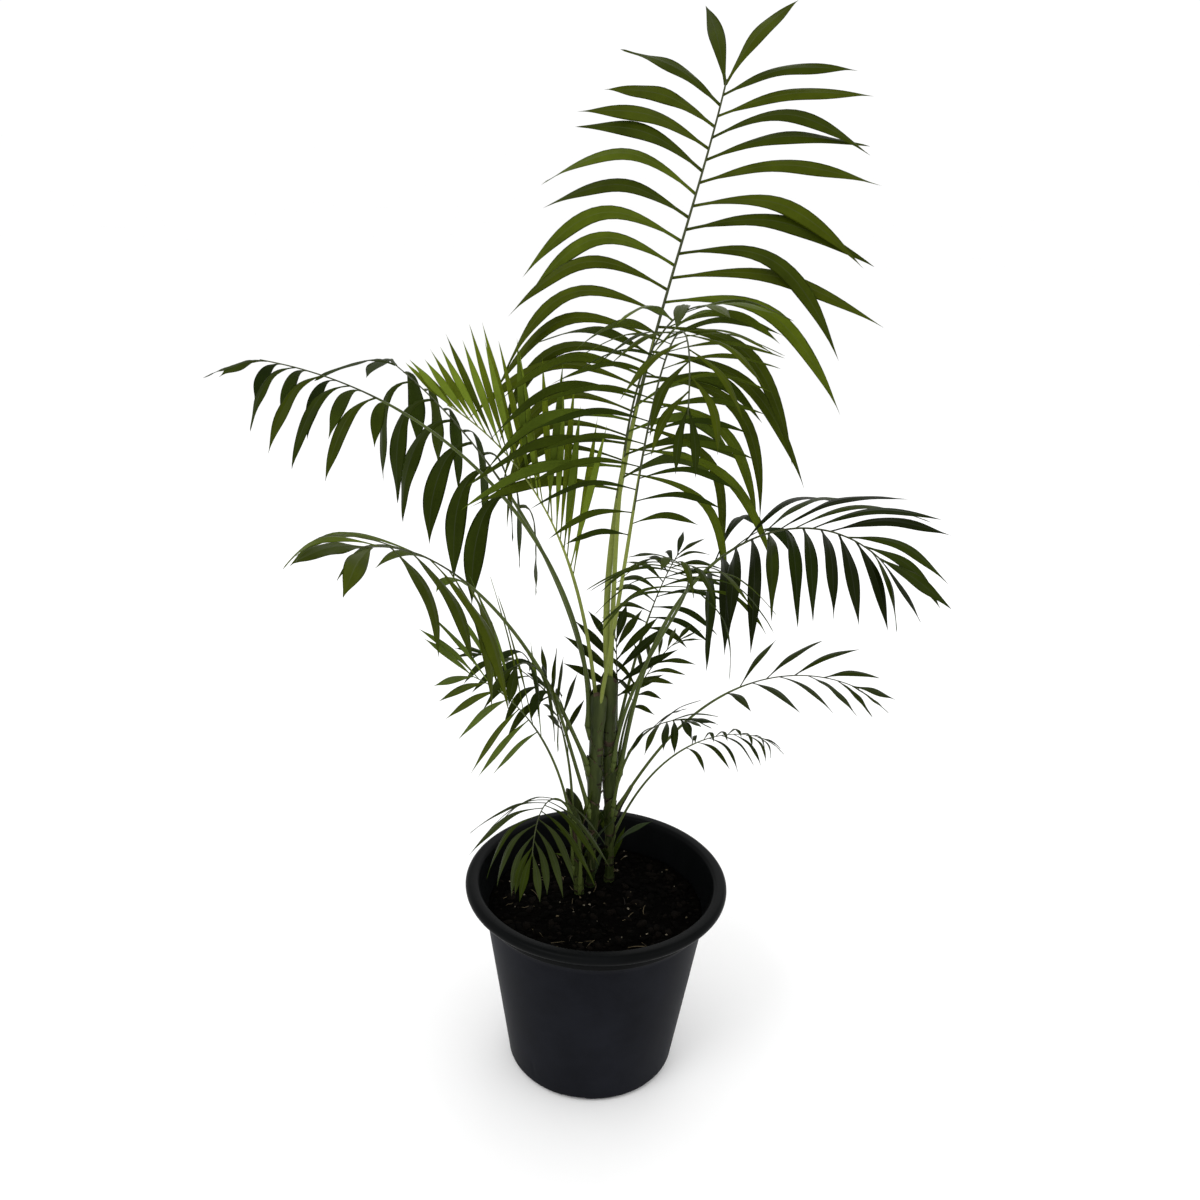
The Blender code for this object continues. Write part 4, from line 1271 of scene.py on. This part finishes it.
def make_camera():
    """Camera where the photo was taken from."""
    down = math.radians(CAMERA_DOWN)
    turn = math.radians(CAMERA_TURN)
    roll = math.radians(CAMERA_ROLL)
    forward = Vector((math.sin(turn) * math.cos(down), math.cos(turn) * math.cos(down), -math.sin(down)))
    level = Vector((math.cos(turn), -math.sin(turn), 0))
    above = level.cross(forward)
    right = level * math.cos(roll) + above * math.sin(roll)
    up = above * math.cos(roll) - level * math.sin(roll)
    lens = bpy.data.cameras.new("camera")
    lens.lens = CAMERA_LENS
    lens.sensor_width = CAMERA_SENSOR
    lens.sensor_height = CAMERA_SENSOR
    lens.sensor_fit = "HORIZONTAL"
    lens.clip_start = 0.02
    camera = bpy.data.objects.new("camera", lens)
    turned_to = Matrix((right, up, -forward)).transposed().to_4x4()
    turned_to.translation = Vector(CAMERA_PLACE)
    camera.matrix_world = turned_to
    bpy.context.scene.collection.objects.link(camera)
    bpy.context.scene.camera = camera


def area_light(name, place, aim, size, power, colour=(1, 1, 1)):
    """A soft square light that looks at a point."""
    lamp = bpy.data.lights.new(name, "AREA")
    lamp.shape = "SQUARE"
    lamp.size = size
    lamp.energy = power
    lamp.color = colour
    made = bpy.data.objects.new(name, lamp)
    made.location = place
    made.rotation_euler = (Vector(aim) - Vector(place)).to_track_quat("-Z", "Y").to_euler()
    bpy.context.scene.collection.objects.link(made)


def make_studio():
    """Pale floor, white surroundings and soft lights."""
    work = bmesh.new()
    bmesh.ops.create_grid(work, x_segments=8, y_segments=8, size=60.0)
    mesh = bpy.data.meshes.new("floor")
    work.to_mesh(mesh)
    work.free()
    floor = bpy.data.objects.new("floor", mesh)
    floor.location.z = -0.0005
    mesh.materials.append(surface("floor_pale", (0.97, 0.97, 0.97), 0.95, vary=0.01, scale=3, fine=60, bump=0.02,
                                   specular=0.1))
    bpy.context.scene.collection.objects.link(floor)
    world = bpy.data.worlds.new("studio")
    bpy.context.scene.world = world
    world.use_nodes = True
    sky = world.node_tree.nodes["Background"]
    sky.inputs["Color"].default_value = (1.0, 1.0, 1.0, 1)
    sky.inputs["Strength"].default_value = 1.04
    area_light("key", (-1.3, -1.7, 2.6), (0, 0, 0.5), 1.2, 24)
    area_light("fill", (2.2, -0.9, 1.3), (0, 0, 0.4), 1.8, 7)
    area_light("rim", (0.5, 2.3, 2.2), (0, 0, 0.6), 1.8, 10)
    bpy.context.scene.view_settings.view_transform = "Standard"


make_camera()
make_studio()
plain_surfaces = make_surfaces()
leaf_surfaces = make_leaf_surfaces()
make_pot_shell(plain_surfaces)
make_soil(plain_surfaces)
for order, cane_name in enumerate(CANES):
    make_cane_skin(cane_name, order, plain_surfaces)
make_stub_skin(plain_surfaces)
make_fronds(plain_surfaces, leaf_surfaces)
